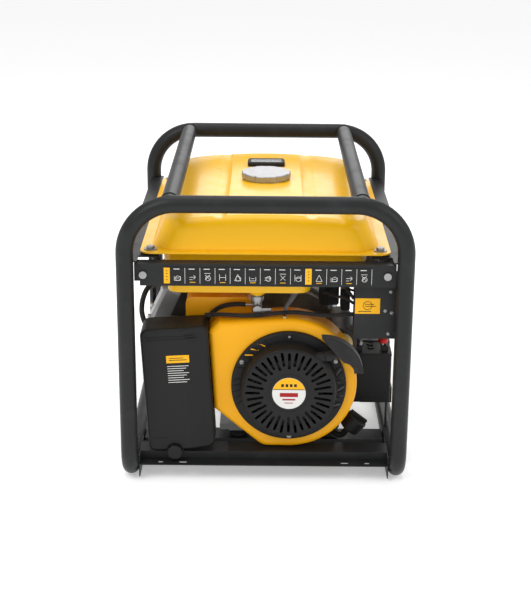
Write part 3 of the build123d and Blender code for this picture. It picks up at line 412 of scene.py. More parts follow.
@dataclass(frozen=True)
class Woven(Finish):
    """Foam, braid or windings: a tight repeating texture in relief."""

    pitch: float = 380.0
    slant: Point = (1.0, 1.0, 1.0)
    metallic: float = 0.0

    def metal(self) -> float:
        """Share of bare metal."""
        return self.metallic

    def work(self, paint: Paint) -> None:
        """Mix the textured finish.

        Args:
            paint: The material being mixed.
        """
        wave = paint.field(
            "ShaderNodeTexWave", None,
            {"Vector": paint.stretched(self.slant), "Scale": self.pitch, "Distortion": 1.5, "Detail": 2.0},
        )
        paint.set("Base Color", paint.blend(self.colour, self.tone, wave))
        paint.set("Roughness", self.roughness + paint.noise(200.0) * 0.15)
        paint.bump(wave, 0.0004, 0.6)


class Slot(Enum):
    """The material slots of the record, with the finish that each one gets."""

    black_frame = PowderCoat((0.013, 0.0135, 0.014), (0.028, 0.029, 0.030), 0.36)
    tank_yellow = GlossEnamel(TANK_YELLOW, (0.97, 0.56, 0.01), 0.34)
    shroud_yellow = GlossEnamel(SHROUD_YELLOW, (0.86, 0.38, 0.002), 0.44, 0.12)
    zinc = Plated(ZINC, (0.26, 0.26, 0.26), 0.32)
    zinc_yellow = Plated((0.50, 0.36, 0.13), (0.40, 0.33, 0.20), 0.34)
    cast_aluminium = Cast((0.42, 0.43, 0.44), (0.22, 0.22, 0.22), 0.42)
    steel = Plated((0.48, 0.48, 0.49), (0.34, 0.34, 0.34), 0.28)
    cast_iron = Cast((0.12, 0.12, 0.12), (0.06, 0.055, 0.05), 0.55)
    black_plastic = Moulded(BLACK, CHARCOAL, 0.40)
    black_rubber = Rubber((0.012, 0.012, 0.012), (0.035, 0.034, 0.033), 0.62)
    label = Moulded((0.012, 0.012, 0.012), (0.020, 0.020, 0.021), 0.30, 1600.0, 0.00002)
    clear = Clear((0.85, 0.87, 0.88), (0.78, 0.80, 0.82), 0.06)
    red_plastic = Moulded((0.50, 0.012, 0.010), (0.38, 0.010, 0.010), 0.30)
    chrome = Plated((0.46, 0.46, 0.47), (0.34, 0.34, 0.35), 0.30, (1.0, 1.0, 1.0), 0.00002)
    foam = Woven((0.05, 0.05, 0.05), (0.10, 0.10, 0.10), 0.85, 500.0)
    copper = Woven((0.46, 0.18, 0.07), (0.20, 0.07, 0.03), 0.35, 420.0, (1.0, 0.2, 1.0), 0.8)
    hot_steel = PowderCoat((0.030, 0.029, 0.028), (0.075, 0.060, 0.050), 0.60)
    socket_blue = Moulded((0.015, 0.05, 0.22), (0.012, 0.035, 0.16), 0.32)
    rope = Woven((0.60, 0.58, 0.52), (0.32, 0.30, 0.26), 0.80, 700.0, (1.0, 1.0, 1.0))
    print_yellow = Moulded(PRINT_YELLOW, (0.80, 0.40, 0.01), 0.38, 1400.0, 0.00002)
    print_white = Moulded(PRINT_WHITE, (0.60, 0.60, 0.58), 0.38, 1400.0, 0.00002)
    print_black = Moulded((0.012, 0.012, 0.012), (0.03, 0.03, 0.03), 0.45, 1400.0, 0.00002)
    sleeve = Woven((0.16, 0.16, 0.17), (0.05, 0.05, 0.05), 0.60, 600.0, (1.0, 1.0, 2.2))
    print_red = Moulded((0.35, 0.012, 0.014), (0.28, 0.012, 0.012), 0.38, 1400.0, 0.00002)
    # Painted shade: a near-black cast for the cylinder head, whose aluminium sits in shade.
    dark_cast = Cast((0.055, 0.055, 0.057), (0.025, 0.025, 0.025), 0.50)
    dark_steel = Plated((0.075, 0.075, 0.078), (0.045, 0.045, 0.046), 0.42)
    shade_grey = Moulded((0.10, 0.10, 0.105), (0.06, 0.06, 0.06), 0.50, 1200.0, 0.00003)


# The cylinder head's near-black cast here is painted shade in place of its aluminium.
NODE_FINISH = {"starter_motor": Slot.dark_steel, "cylinder_head": Slot.dark_cast}


class PaintShop:
    """Mixes each finish once and puts it on pieces and CAD nodes."""

    def __init__(self) -> None:
        """Start with nothing mixed."""
        self.mixed: dict[Slot, bpy.types.Material] = {}

    def material(self, slot: Slot) -> bpy.types.Material:
        """Find a slot's material, mixed the first time.

        Args:
            slot: The slot.

        Returns:
            Its material.
        """
        if slot not in self.mixed:
            self.mixed[slot] = slot.value.mix(f"finish_{slot.name}")
        return self.mixed[slot]

    def dress_nodes(self) -> None:
        """Give every CAD node the finish of its slot, or the one that NODE_FINISH sets for it."""
        by_node = {row["node"]: row["material_slot"] for row in frame["record"]["subparts"]}
        for name, node in frame["nodes"].items():
            slot = NODE_FINISH.get(name, Slot[by_node[name]])
            for place in node.material_slots:
                place.material = self.material(slot)
            log.info("finish %s on %s", slot.name, name)

    def dress(self, piece: bpy.types.Object, slot: Slot, body: str = "frame") -> bpy.types.Object:
        """Finish a new piece and let it ride.

        Args:
            piece: The piece, in place.
            slot: Its finish.
            body: The CAD body that it moves with.

        Returns:
            The piece.
        """
        piece.data.materials.clear()
        piece.data.materials.append(self.material(slot))
        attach(piece, body)
        log.info("made %s", piece.name)
        return piece


# ---- the bench: pieces shaped as by hand ----
def deselect() -> None:
    """Leave edit mode and select nothing."""
    if bpy.context.mode != "OBJECT":
        bpy.ops.object.mode_set(mode="OBJECT")
    bpy.ops.object.select_all(action="DESELECT")


def take(name: str) -> bpy.types.Object:
    """Name the primitive that was just added.

    Args:
        name: Its name.

    Returns:
        The piece.
    """
    piece = bpy.context.object
    piece.name = name
    piece.data.name = name
    return piece


def pick(piece: bpy.types.Object, faces: Callable | None = None, edges: Callable | None = None) -> None:
    """Select faces or edges by a test and enter edit mode.

    Args:
        piece: The piece.
        faces: Test on a face.
        edges: Test on an edge's two end points.
    """
    bpy.ops.object.mode_set(mode="EDIT")
    bpy.ops.mesh.select_mode(type="FACE" if faces else "EDGE")
    bpy.ops.mesh.select_all(action="DESELECT")
    bpy.ops.object.mode_set(mode="OBJECT")
    mesh = piece.data
    if faces:
        for face in mesh.polygons:
            face.select = bool(faces(face))
    else:
        for edge in mesh.edges:
            first, second = (mesh.vertices[i].co for i in edge.vertices)
            edge.select = bool(edges(first, second))
    bpy.ops.object.mode_set(mode="EDIT")


def settle(piece: bpy.types.Object, place: Matrix | None = None) -> bpy.types.Object:
    """Put the piece in place, in its mesh, and smooth it by angle.

    Args:
        piece: The piece.
        place: Where it goes, or None where it stands already.

    Returns:
        The piece.
    """
    deselect()
    bpy.context.view_layer.objects.active = piece
    piece.select_set(True)
    if place is not None:
        piece.matrix_world = place @ piece.matrix_world
    bpy.ops.object.transform_apply(location=True, rotation=True, scale=True)
    bpy.ops.object.shade_smooth_by_angle(angle=SMOOTH_ANGLE)
    piece.select_set(False)
    return piece


def facing(centre: Point, axis: Point, turn: float = 0.0) -> Matrix:
    """A place at a point in millimetres, with local Z along an axis.

    Args:
        centre: The point.
        axis: Where local Z points.
        turn: Turn about that axis, in degrees.

    Returns:
        The matrix, in metres.
    """
    direction = Vector(axis).normalized()
    quaternion = direction.to_track_quat("Z", "Y")
    spin = Matrix.Rotation(math.radians(turn), 4, "Z")
    return Matrix.Translation(Vector(centre) * MM) @ quaternion.to_matrix().to_4x4() @ spin


def plate(
    name: str, low: Point, high: Point, edge: float = 0.4, place: Matrix | None = None, segments: int = 2
) -> bpy.types.Object:
    """A block between two corners, with rounded edges.

    Args:
        name: Its name.
        low: Its lowest corner, in millimetres.
        high: Its highest corner.
        edge: Rounding of its edges.
        place: Where the block's own frame stands.
        segments: Facets of the rounding.

    Returns:
        The block.
    """
    deselect()
    centre = [(a + b) / 2 * MM for a, b in zip(low, high)]
    bpy.ops.mesh.primitive_cube_add(size=1, location=centre)
    piece = take(name)
    piece.scale = [abs(b - a) * MM for a, b in zip(low, high)]
    bpy.ops.object.transform_apply(location=True, rotation=True, scale=True)
    bpy.ops.object.mode_set(mode="EDIT")
    bpy.ops.mesh.select_all(action="SELECT")
    bpy.ops.mesh.bevel(offset=edge * MM, segments=segments, affect="EDGES")
    return settle(piece, place)


def mark(low: Point, high: Point, edge: float = 0.1, place: Matrix | None = None) -> bpy.types.Object:
    """A thin printed mark between two corners, with barely broken edges."""
    return plate("mark", low, high, edge, place, 1)


def stepped(
    name: str, centre: Point, axis: Point, radius: float, height: float,
    steps: Sequence[tuple[float, float]] = (), edge: float = 0.4, sides: int = 32, turn: float = 0.0,
) -> bpy.types.Object:
    """A round piece built up from its seat by insets and extrusions of its top.

    Args:
        name: Its name.
        centre: Middle of its seat, in millimetres.
        axis: Where it points.
        radius: Radius at the seat.
        height: Height of the first step.
        steps: For each later step, how far it goes in and how far it rises.
        edge: Rounding of the sharp rims.
        sides: Number of sides.
        turn: Turn about the axis, in degrees.

    Returns:
        The piece.
    """
    deselect()
    bpy.ops.mesh.primitive_cylinder_add(
        vertices=sides, radius=radius * MM, depth=height * MM, location=(0, 0, height * MM / 2)
    )
    piece = take(name)
    bpy.ops.object.transform_apply(location=True, rotation=True, scale=True)
    top = height * MM
    for inset, rise in steps:
        level = top
        pick(piece, faces=lambda f, z=level: f.normal.z > 0.9 and abs(f.center.z - z) < 1e-6)
        bpy.ops.mesh.inset(thickness=inset * MM)
        if rise:
            bpy.ops.mesh.extrude_region_move(TRANSFORM_OT_translate={"value": (0, 0, rise * MM)})
        bpy.ops.object.mode_set(mode="OBJECT")
        top += rise * MM
    if edge:
        pick(piece, edges=lambda a, b: abs(a.z - b.z) < 1e-6 and a.z > 1e-6)
        bpy.ops.mesh.bevel(offset=edge * MM, segments=2, affect="EDGES", clamp_overlap=True)
    return settle(piece, facing(centre, axis, turn))


def hoop(name: str, centre: Point, axis: Point, radius: float, thickness: float) -> bpy.types.Object:
    """A round wire ring, flattened a little on its seat.

    Args:
        name: Its name.
        centre: Its middle, in millimetres.
        axis: Where it faces.
        radius: Radius to the middle of the wire.
        thickness: Radius of the wire.

    Returns:
        The ring.
    """
    deselect()
    bpy.ops.mesh.primitive_torus_add(
        major_radius=radius * MM, minor_radius=thickness * MM, major_segments=64, minor_segments=10
    )
    piece = take(name)
    bpy.ops.object.mode_set(mode="EDIT")
    bpy.ops.mesh.select_all(action="SELECT")
    bpy.ops.transform.resize(value=(1, 1, 0.7))
    return settle(piece, facing(centre, axis))


def between(name: str, start: Point, end: Point, radius: float, sides: int = 16) -> bpy.types.Object:
    """A round rod from one point to another, with rounded ends."""
    run = Vector(end) - Vector(start)
    return stepped(name, start, tuple(run), radius, run.length, edge=min(0.3 * radius, 1.0), sides=sides)


def joined(name: str, parts: Iterable[bpy.types.Object]) -> bpy.types.Object:
    """Join parts into one piece.

    Args:
        name: Name of the piece.
        parts: The parts.

    Returns:
        The piece.
    """
    parts = list(parts)
    deselect()
    for part in parts:
        part.select_set(True)
    bpy.context.view_layer.objects.active = parts[0]
    if len(parts) > 1:
        bpy.ops.object.join()
    piece = bpy.context.object
    piece.name = name
    piece.data.name = name
    return settle(piece)


def carve(piece: bpy.types.Object, cutters: Sequence[bpy.types.Object]) -> bpy.types.Object:
    """Cut some pieces out of another, and clear them away.

    Args:
        piece: The piece that stays.
        cutters: The pieces that are cut out of it.

    Returns:
        The piece that stays.
    """
    for cutter in cutters:
        deselect()
        bpy.context.view_layer.objects.active = piece
        cut = piece.modifiers.new("cut", "BOOLEAN")
        cut.operation, cut.object, cut.solver = "DIFFERENCE", cutter, "EXACT"
        bpy.ops.object.modifier_apply(modifier="cut")
        bpy.data.objects.remove(cutter)
    return piece


def rounded(piece: bpy.types.Object, width: float, segments: int = 3) -> bpy.types.Object:
    """Round the sharp edges of a piece.

    Args:
        piece: The piece.
        width: Width of the rounding, in millimetres.
        segments: Facets of the rounding.

    Returns:
        The piece.
    """
    deselect()
    bpy.context.view_layer.objects.active = piece
    edge = piece.modifiers.new("edge", "BEVEL")
    edge.width, edge.segments, edge.limit_method = width * MM, segments, "ANGLE"
    edge.angle_limit = math.radians(35)
    bpy.ops.object.modifier_apply(modifier="edge")
    return settle(piece)


def slab(
    name: str, low: Point, high: Point, along: int, corner: float, edge: float = 0.5
) -> bpy.types.Object:
    """A block whose four edges along one axis are well rounded.

    Args:
        name: Its name.
        low: Its lowest corner, in millimetres.
        high: Its highest corner.
        along: The axis of the rounded edges, 0 to 2.
        corner: Their radius.
        edge: Rounding of the other edges.

    Returns:
        The slab.
    """
    deselect()
    centre = [(a + b) / 2 * MM for a, b in zip(low, high)]
    bpy.ops.mesh.primitive_cube_add(size=1, location=centre)
    piece = take(name)
    piece.scale = [abs(b - a) * MM for a, b in zip(low, high)]
    bpy.ops.object.transform_apply(location=True, rotation=True, scale=True)
    pick(piece, edges=lambda a, b: abs(abs((b - a).normalized()[along]) - 1) < 1e-3)
    bpy.ops.mesh.bevel(offset=corner * MM, segments=8, affect="EDGES")
    bpy.ops.object.mode_set(mode="OBJECT")
    return rounded(piece, edge, 2)


def cable(name: str, points: Sequence[Point], radius: float) -> bpy.types.Object:
    """A round cable on one smooth curve through the neighbourhood of five points.

    Args:
        name: Its name.
        points: Five points, in millimetres.
        radius: Its radius.

    Returns:
        The cable, as a mesh with closed ends.
    """
    deselect()
    bpy.ops.curve.primitive_nurbs_path_add(radius=1)
    piece = bpy.context.object
    spline = piece.data.splines[0]
    for knot, point in zip(spline.points, points):
        knot.co = (*(value * MM for value in point), 1.0)
    spline.order_u = 4
    spline.use_endpoint_u = True
    spline.resolution_u = 8
    piece.data.bevel_depth, piece.data.bevel_resolution = radius * MM, 3
    piece.data.use_fill_caps = True
    piece.select_set(True)
    bpy.ops.object.convert(target="MESH")
    return settle(take(name))


def screw(name: str, centre: Point, axis: Point, radius: float = 5.0) -> bpy.types.Object:
    """A flanged pan-head screw with a cross cut in its head.

    Args:
        name: Its name.
        centre: Middle of its seat, in millimetres.
        axis: Where its head faces.
        radius: Radius of its flange.

    Returns:
        The screw.
    """
    flange, dome = radius * 0.22, radius * 0.4
    top = flange + dome
    head = stepped(name, (0, 0, 0), UP, radius, flange, [(radius * 0.22, dome)], radius * 0.12, 24)
    arm, half = radius * 0.52, radius * 0.1
    cuts = [
        plate("cut", (-a, -b, top - radius * 0.3), (a, b, top + 1), 0.02, None, 1)
        for a, b in ((arm, half), (half, arm))
    ]
    return settle(carve(head, cuts), facing(centre, axis))


# ---- sub-assemblies ----
@dataclass
class Studio:
    """Pale floor, soft lights and the camera."""

    camera_place: Point = (0.78, -2604.42, 1144.39)
    pitch: float = 18.84
    roll: float = 0.488
    lens: float = 79.37
    sensor: float = 36.0
    aim: Point = (0.0, 0.0, 0.28)
    floor_size: float = 60.0
    floor_glow: float = 0.36
    sky_light: float = 0.62

    def build(self) -> None:
        """Make the floor, the lights, the sky and the camera."""
        self.camera()
        self.floor()
        self.sky()
        self.lamp("key_light", (-1.7, -2.2, 2.9), 1.6, 46)
        self.lamp("fill_light", (2.3, -1.6, 1.9), 1.6, 20)
        self.lamp("top_light", (0.0, 0.4, 3.2), 2.2, 34)
        self.lamp("back_light", (0.3, 3.2, 1.8), 1.8, 18)

    def camera(self) -> None:
        """Make the camera at the viewing angle."""
        pitch, roll = math.radians(self.pitch), math.radians(self.roll)
        right, up = Vector(RIGHT), Vector((0, math.sin(pitch), math.cos(pitch)))
        ahead = Vector((0, math.cos(pitch), -math.sin(pitch)))
        across = right * math.cos(roll) + up * math.sin(roll)
        upward = up * math.cos(roll) - right * math.sin(roll)
        data = bpy.data.cameras.new("camera")
        data.lens, data.sensor_width = self.lens, self.sensor
        camera = bpy.data.objects.new("camera", data)
        turn = Matrix((across, upward, -ahead)).transposed().to_4x4()
        camera.matrix_world = Matrix.Translation(Vector(self.camera_place) * MM) @ turn
        bpy.context.scene.collection.objects.link(camera)
        bpy.context.scene.camera = camera

    def floor(self) -> None:
        """Make the floor, wide enough to fill the view."""
        deselect()
        bpy.ops.mesh.primitive_plane_add(size=self.floor_size, location=(0, 0, -0.0005))
        floor = take("floor")
        bpy.ops.object.mode_set(mode="EDIT")
        bpy.ops.mesh.select_all(action="SELECT")
        bpy.ops.mesh.subdivide(number_cuts=8)
        settle(floor)
        paint = Paint("pale_floor", 0.75)
        cloud = paint.noise(0.8, 2.0)
        paint.set("Base Color", paint.blend((0.93, 0.93, 0.93), (0.90, 0.90, 0.90), cloud))
        paint.set("Emission Color", (1.0, 1.0, 1.0))
        paint.set("Emission Strength", self.floor_glow)
        floor.data.materials.append(paint.material)

    def sky(self) -> None:
        """Set an even white sky."""
        world = bpy.data.worlds.new("sky")
        world.use_nodes = True
        ground = world.node_tree.nodes["Background"]
        ground.inputs["Color"].default_value = (1.0, 1.0, 1.0, 1.0)
        ground.inputs["Strength"].default_value = self.sky_light
        bpy.context.scene.world = world
        bpy.context.scene.view_settings.view_transform = "Standard"

    def lamp(self, name: str, place: Point, size: float, power: float) -> None:
        """Hang a soft area light that looks at the generator.

        Args:
            name: Its name.
            place: Where it hangs, in metres.
            size: Its width, in metres.
            power: Its power, in watts.
        """
        data = bpy.data.lights.new(name, "AREA")
        data.size, data.energy = size, power
        lamp = bpy.data.objects.new(name, data)
        lamp.location = place
        lamp.rotation_euler = (Vector(self.aim) - Vector(place)).to_track_quat("-Z", "Y").to_euler()
        bpy.context.scene.collection.objects.link(lamp)


class Symbol(Enum):
    """Plain generic line symbols, as bars in a cell ten wide: x0, z0, x1, z1."""

    level = ((-4, -4, 4, -4), (-4, -4, -4, 1), (4, -4, 4, 1), (-2, -1, 2, -1))
    arrow = ((-4, 0, 4, 0), (4, 0, 1.5, 2.5), (4, 0, 1.5, -2.5), (-4, -3, 0, -3))
    cross = ((-3, -3, 3, 3), (-3, 3, 3, -3), (-4, 5, 4, 5))
    gate = ((-4, -4, -4, 4), (4, -4, 4, 4), (-4, 0, 4, 0))
    wedge = ((-4, -4, 4, -4), (4, -4, 0, 4), (0, 4, -4, -4))


@dataclass
class InstructionStrip:
    """The printed strip on the front plate: cells, yellow ends and plain symbols."""

    shop: PaintShop
    left: float = -184.0
    right: float = 193.0
    bottom: float = 395.0
    top: float = 427.0
    face: float = -322.2
    print_depth: float = 0.25
    yellow_at: tuple[float, ...] = (-184.0, 73.0)
    block_width: float = 11.0

    def bar(self, x0: float, z0: float, x1: float, z1: float, width: float = 0.8) -> bpy.types.Object:
        """A printed line between two points of the strip.

        Args:
            x0: Start, across.
            z0: Start, up.
            x1: End, across.
            z1: End, up.
            width: Width of the line.

        Returns:
            The line.
        """
        run = Vector((x1 - x0, 0, z1 - z0))
        turn = -math.atan2(run.z, run.x)
        place = Matrix.Translation(Vector(((x0 + x1) / 2, self.face, (z0 + z1) / 2)) * MM)
        half = run.length / 2
        low, high = (-half, -self.print_depth, -width / 2), (half, 0, width / 2)
        return mark(low, high, 0.06, place @ Matrix.Rotation(turn, 4, "Y"))

    def build(self) -> None:
        """Print the blocks, the separators and one symbol in each cell."""
        shop, face = self.shop, self.face
        blocks, marks, accents = [], [], []
        for x in self.yellow_at:
            low = (x, face - self.print_depth, self.bottom + 1)
            high = (x + self.block_width, face, self.top - 1)
            blocks.append(mark(low, high))
            middle = x + self.block_width / 2
            for z in (403, 409, 415, 420):
                accents.append(self.bar(middle - 1.5, z, middle + 1.5, z, 1.6))
        starts = [self.yellow_at[0] + self.block_width, self.yellow_at[1] + self.block_width]
        ends, counts = [self.yellow_at[1], self.right], (9, 4)
        kinds, number = list(Symbol), 0
        for start, end, count in zip(starts, ends, counts):
            width = (end - start) / count
            for index in range(count):
                x = start + width * (index + 0.5)
                edge = x + width / 2
                marks.append(self.bar(edge, self.bottom + 1, edge, self.top - 1, 0.7))
                marks.append(self.bar(x - 7, self.top - 3.5, x + 4, self.top - 3.5, 1.4))
                for x0, z0, x1, z1 in kinds[number % len(kinds)].value:
                    marks.append(self.bar(x + x0 * 1.4, 408 + z0 * 1.5, x + x1 * 1.4, 408 + z1 * 1.5))
                if number % 2:
                    blocks.append(self.bar(x - 5, 398.5, x + 5, 398.5, 1.3))
                else:
                    ring = hoop("ring", (x + 1, face - 0.1, 406), FRONT, 4.4, 0.4)
                    marks.append(ring)
                number += 1
        shop.dress(joined("strip_yellow_print", blocks), Slot.print_yellow)
        shop.dress(joined("strip_white_print", marks), Slot.print_white)
        shop.dress(joined("strip_black_print", accents), Slot.print_black)


@dataclass
class RecoilTrim:
    """What sits on the starter cover: sticker, rings, screws, louvres and a chevron."""

    shop: PaintShop
    x: float = 46.0
    z: float = 182.0
    drum_face: float = -323.0
    ring_face: float = -290.0
    sticker_r: float = 31.3
    louvre_groups: tuple[tuple[float, float, int], ...] = ((116, 158, 7), (172, 200, 5), (-26, 22, 8))

    def at(self, radius: float, angle: float, y: float) -> Point:
        """A point around the crank line, with the angle from the right, in degrees."""
        turn = math.radians(angle)
        return (self.x + radius * math.cos(turn), y, self.z + radius * math.sin(turn))

    def sticker(self) -> None:
        """The round sticker: a yellow cap over a white field, with plain bars."""
        shop, r = self.shop, self.sticker_r
        seat, above = (self.x, self.drum_face, self.z), (self.x, self.drum_face - 0.5, self.z)
        white = stepped("recoil_sticker", seat, FRONT, r, 0.5, (), 0.15, 64)
        shop.dress(white, Slot.print_white)
        cap = stepped("recoil_sticker_cap", above, FRONT, r - 0.3, 0.2, (), 0, 64)
        level = (self.z + 8.5) * MM
        deselect()
        bpy.context.view_layer.objects.active = cap
        bpy.ops.object.mode_set(mode="EDIT")
        bpy.ops.mesh.select_all(action="SELECT")
        bpy.ops.mesh.bisect(
            plane_co=(0, 0, level), plane_no=UP, use_fill=True, clear_inner=True, clear_outer=False
        )
        shop.dress(settle(cap), Slot.print_yellow)
        y = self.drum_face - 0.75
        line = mark((self.x - 29.5, y, self.z + 7.2), (self.x + 29.5, y + 0.35, self.z + 8.4))
        shop.dress(joined("recoil_sticker_line", [line]), Slot.print_black)
        reds = [
            mark((self.x - w, y, self.z + h), (self.x + w, y + 0.35, self.z + h + t))
            for w, h, t in ((17, -7, 8), (12, -14, 3), (8, -20, 1.4))
        ]
        shop.dress(joined("recoil_sticker_bars", reds), Slot.print_red)
        dark = [
            mark((self.x + c - 2.6, y, self.z + 13), (self.x + c + 2.6, y + 0.35, self.z + 19))
            for c in (-12, -4, 4, 12)
        ]
        shop.dress(joined("recoil_sticker_blocks", dark), Slot.print_black)

    def louvres(self) -> None:
        """Slanted vent blades on the flange ring."""
        blades = []
        for start, end, count in self.louvre_groups:
            for index in range(count):
                angle = start + (end - start) * index / (count - 1)
                place = facing(self.at(99.5, angle, self.ring_face + 0.6), FRONT, 0)
                turned = place @ Matrix.Rotation(math.radians(angle + 24), 4, "Z")
                blades.append(plate("blade", (-6, -1.1, 0), (6, 1.1, 2.2), 0.5, turned))
        self.shop.dress(joined("recoil_louvres", blades), Slot.black_plastic)

    def windows(self) -> None:
        """Slanted vent windows: a brassy glow at the upper left and grey at the right."""
        for name, slot, angles in (
            ("recoil_windows_upper", Slot.shroud_yellow, (122, 131, 140)),
            ("recoil_windows_side", Slot.shade_grey, (-22, -12, -2, 8, 18)),
        ):
            panes = []
            for angle in angles:
                place = facing(self.at(98.5, angle, self.ring_face + 0.2), FRONT)
                turned = place @ Matrix.Rotation(math.radians(angle + 40), 4, "Z")
                panes.append(plate("pane", (-7.5, -1.2, 0), (7.5, 1.2, 0.8), 0.35, turned))
            self.shop.dress(joined(name, panes), slot)

    def notch(self) -> None:
        """The small V-shaped catch at the top of the flange ring."""
        arms = []
        for side in (-1, 1):
            place = facing((self.x + side * 7, self.ring_face, self.z + 102), FRONT)
            turned = place @ Matrix.Rotation(math.radians(side * 38), 4, "Z")
            arms.append(plate("arm", (-8, -1.2, 0), (8, 1.2, 2.4), 0.5, turned))
        self.shop.dress(joined("recoil_catch", arms), Slot.black_plastic)
        seat = (self.x, self.ring_face, self.z + 100)
        pin = stepped("recoil_catch_pin", seat, FRONT, 2.6, 1.4, [(0.8, 0.8)], 0.2, 20)
        self.shop.dress(pin, Slot.zinc)

    def grip(self) -> None:
        """The crowned crescent handle with its stepped neck, in place of the plain one."""
        y, half = -310.0, 12.0
        outer = stepped("pull_grip", (111, y + half, 218), FRONT, 73.2, 2 * half, (), 0, 128)
        below = plate("below", (20, y - 20, 120), (300, y + 20, 222), 0.02, None, 1)
        chord = Matrix.Translation(Vector((149, y, 251)) * MM) @ Matrix.Rotation(math.radians(49), 4, "Y")
        behind = plate("behind", (-140, -20, -160), (140, 20, -7), 0.02, chord, 1)
        scoop = stepped("scoop", (146, y + 20, 222), FRONT, 21, 40, (), 0, 64)
        body = rounded(carve(outer, [below, behind, scoop]), 5.0, 5)
        line = (math.cos(math.radians(9.5)), 0.0, math.sin(math.radians(9.5)))
        neck = stepped("neck", (112.8, y, 251.0), line, 8.5, 12, [(1.8, 24)], 1.0, 32)
        piece = joined("pull_grip", [body, neck])
        self.shop.dress(piece, Slot.black_rubber, "recoil_grip")
        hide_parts("recoil_grip")

    def build(self) -> None:
        """Make all the trim of the cover."""
        self.sticker()
        self.windows()
        self.notch()
        self.grip()
        centre = (self.x, self.drum_face, self.z)
        rings = [hoop("ring", centre, FRONT, 37.5, 1.1), hoop("ring", centre, FRONT, 84.0, 1.3)]
        self.shop.dress(joined("recoil_cover_beads", rings), Slot.black_plastic)
        screws = [screw("screw", self.at(101.5, a, self.ring_face), FRONT, 4.6) for a in (31, 151, 271)]
        self.shop.dress(joined("recoil_cover_screws", screws), Slot.zinc)
        self.louvres()


@dataclass
class AirCleanerTrim:
    """Label and seam beads of the air cleaner cover."""

    shop: PaintShop
    x: float = -163.0
    z: float = 179.5
    lean: float = 3.3
    front: float = -306.0

    def place(self) -> Matrix:
        """The leaning place of the cover, in metres."""
        there = Matrix.Translation(Vector((self.x, self.front, self.z)) * MM)
        return there @ Matrix.Rotation(math.radians(-self.lean), 4, "Y")

    def build(self) -> None:
        """Make the label and the beads on the cover, which slides away with it."""
        place, shop, body = self.place(), self.shop, "air_box_cover"
        head = mark((-17, -0.4, 55), (26, 0, 70), 0.15, place)
        shop.dress(joined("air_label_head", [head]), Slot.print_yellow, body)
        bars = [mark((-12, -0.6, 60), (21, -0.4, 61.4), 0.1, place)]
        bars.append(mark((-12, -0.6, 64), (15, -0.4, 65.2), 0.1, place))
        shop.dress(joined("air_label_head_bars", bars), Slot.print_black, body)
        lines = [
            mark((-16, -0.4, 48 - 4.6 * i), (24 - 5 * (i % 3), 0, 49.2 - 4.6 * i), 0.1, place)
            for i in range(8)
        ]
        shop.dress(joined("air_label_lines", lines), Slot.print_white, body)
        beads = [
            plate("bead", (-52, -0.8, 100), (44, 0.4, 102.4), 0.6, place),
            plate("bead", (-52, -0.8, 106), (40, 0.4, 107.6), 0.5, place),
            plate("bead", (-52, -0.8, -98), (-22, 0.4, -96), 0.6, place),
        ]
        shop.dress(joined("air_cover_beads", beads), Slot.black_plastic, body)


@dataclass
class ControlTrim:
    """Label of the control box, and the screws and print of its side panel."""

    shop: PaintShop
    front: float = -300.0
    face: float = 250.0

    def front_label(self) -> None:
        """The yellow label on the nose, with a plain ring and lines."""
        y = self.front
        back = mark((166, y - 0.4, 333), (212, y, 363), 0.15)
        self.shop.dress(joined("control_label", [back]), Slot.print_yellow)
        marks = [hoop("ring", (189, y - 0.45, 349), FRONT, 8, 0.5)]
        marks.append(mark((172, y - 0.6, 337), (196, y - 0.4, 338.4)))
        marks.append(mark((184, y - 0.6, 347), (204, y - 0.4, 348.2)))
        marks.append(mark((184, y - 0.6, 351), (201, y - 0.4, 352.2)))
        self.shop.dress(joined("control_label_marks", marks), Slot.print_black)
        places = ((231, 376), (222, 339), (234, 335), (229, 294))
        screws = [screw("screw", (x, y, z), FRONT, 3.4) for x, z in places]
        self.shop.dress(joined("control_box_screws", screws), Slot.zinc)

    def side_panel(self) -> None:
        """Corner screws and printed lines."""
        x = self.face
        corners = [(y, z) for y in (-290, 140) for z in (292, 379)]
        screws = [screw("screw", (x, y, z), RIGHT, 3.8) for y, z in corners]
        self.shop.dress(joined("control_panel_screws", screws), Slot.zinc)
        spots = ((-262, 362), (-158, 366), (-94, 362), (12, 371), (92, 371))
        lines = [
            mark((x, y - 11 + 2 * k, z - 3 * k), (x + 0.3, y + 11 - 2 * k, z + 1.2 - 3 * k), 0.08)
            for y, z in spots for k in range(2)
        ]
        self.shop.dress(joined("control_panel_print", lines), Slot.print_white)

    def build(self) -> None:
        """Make the front and the side."""
        self.front_label()
        self.side_panel()


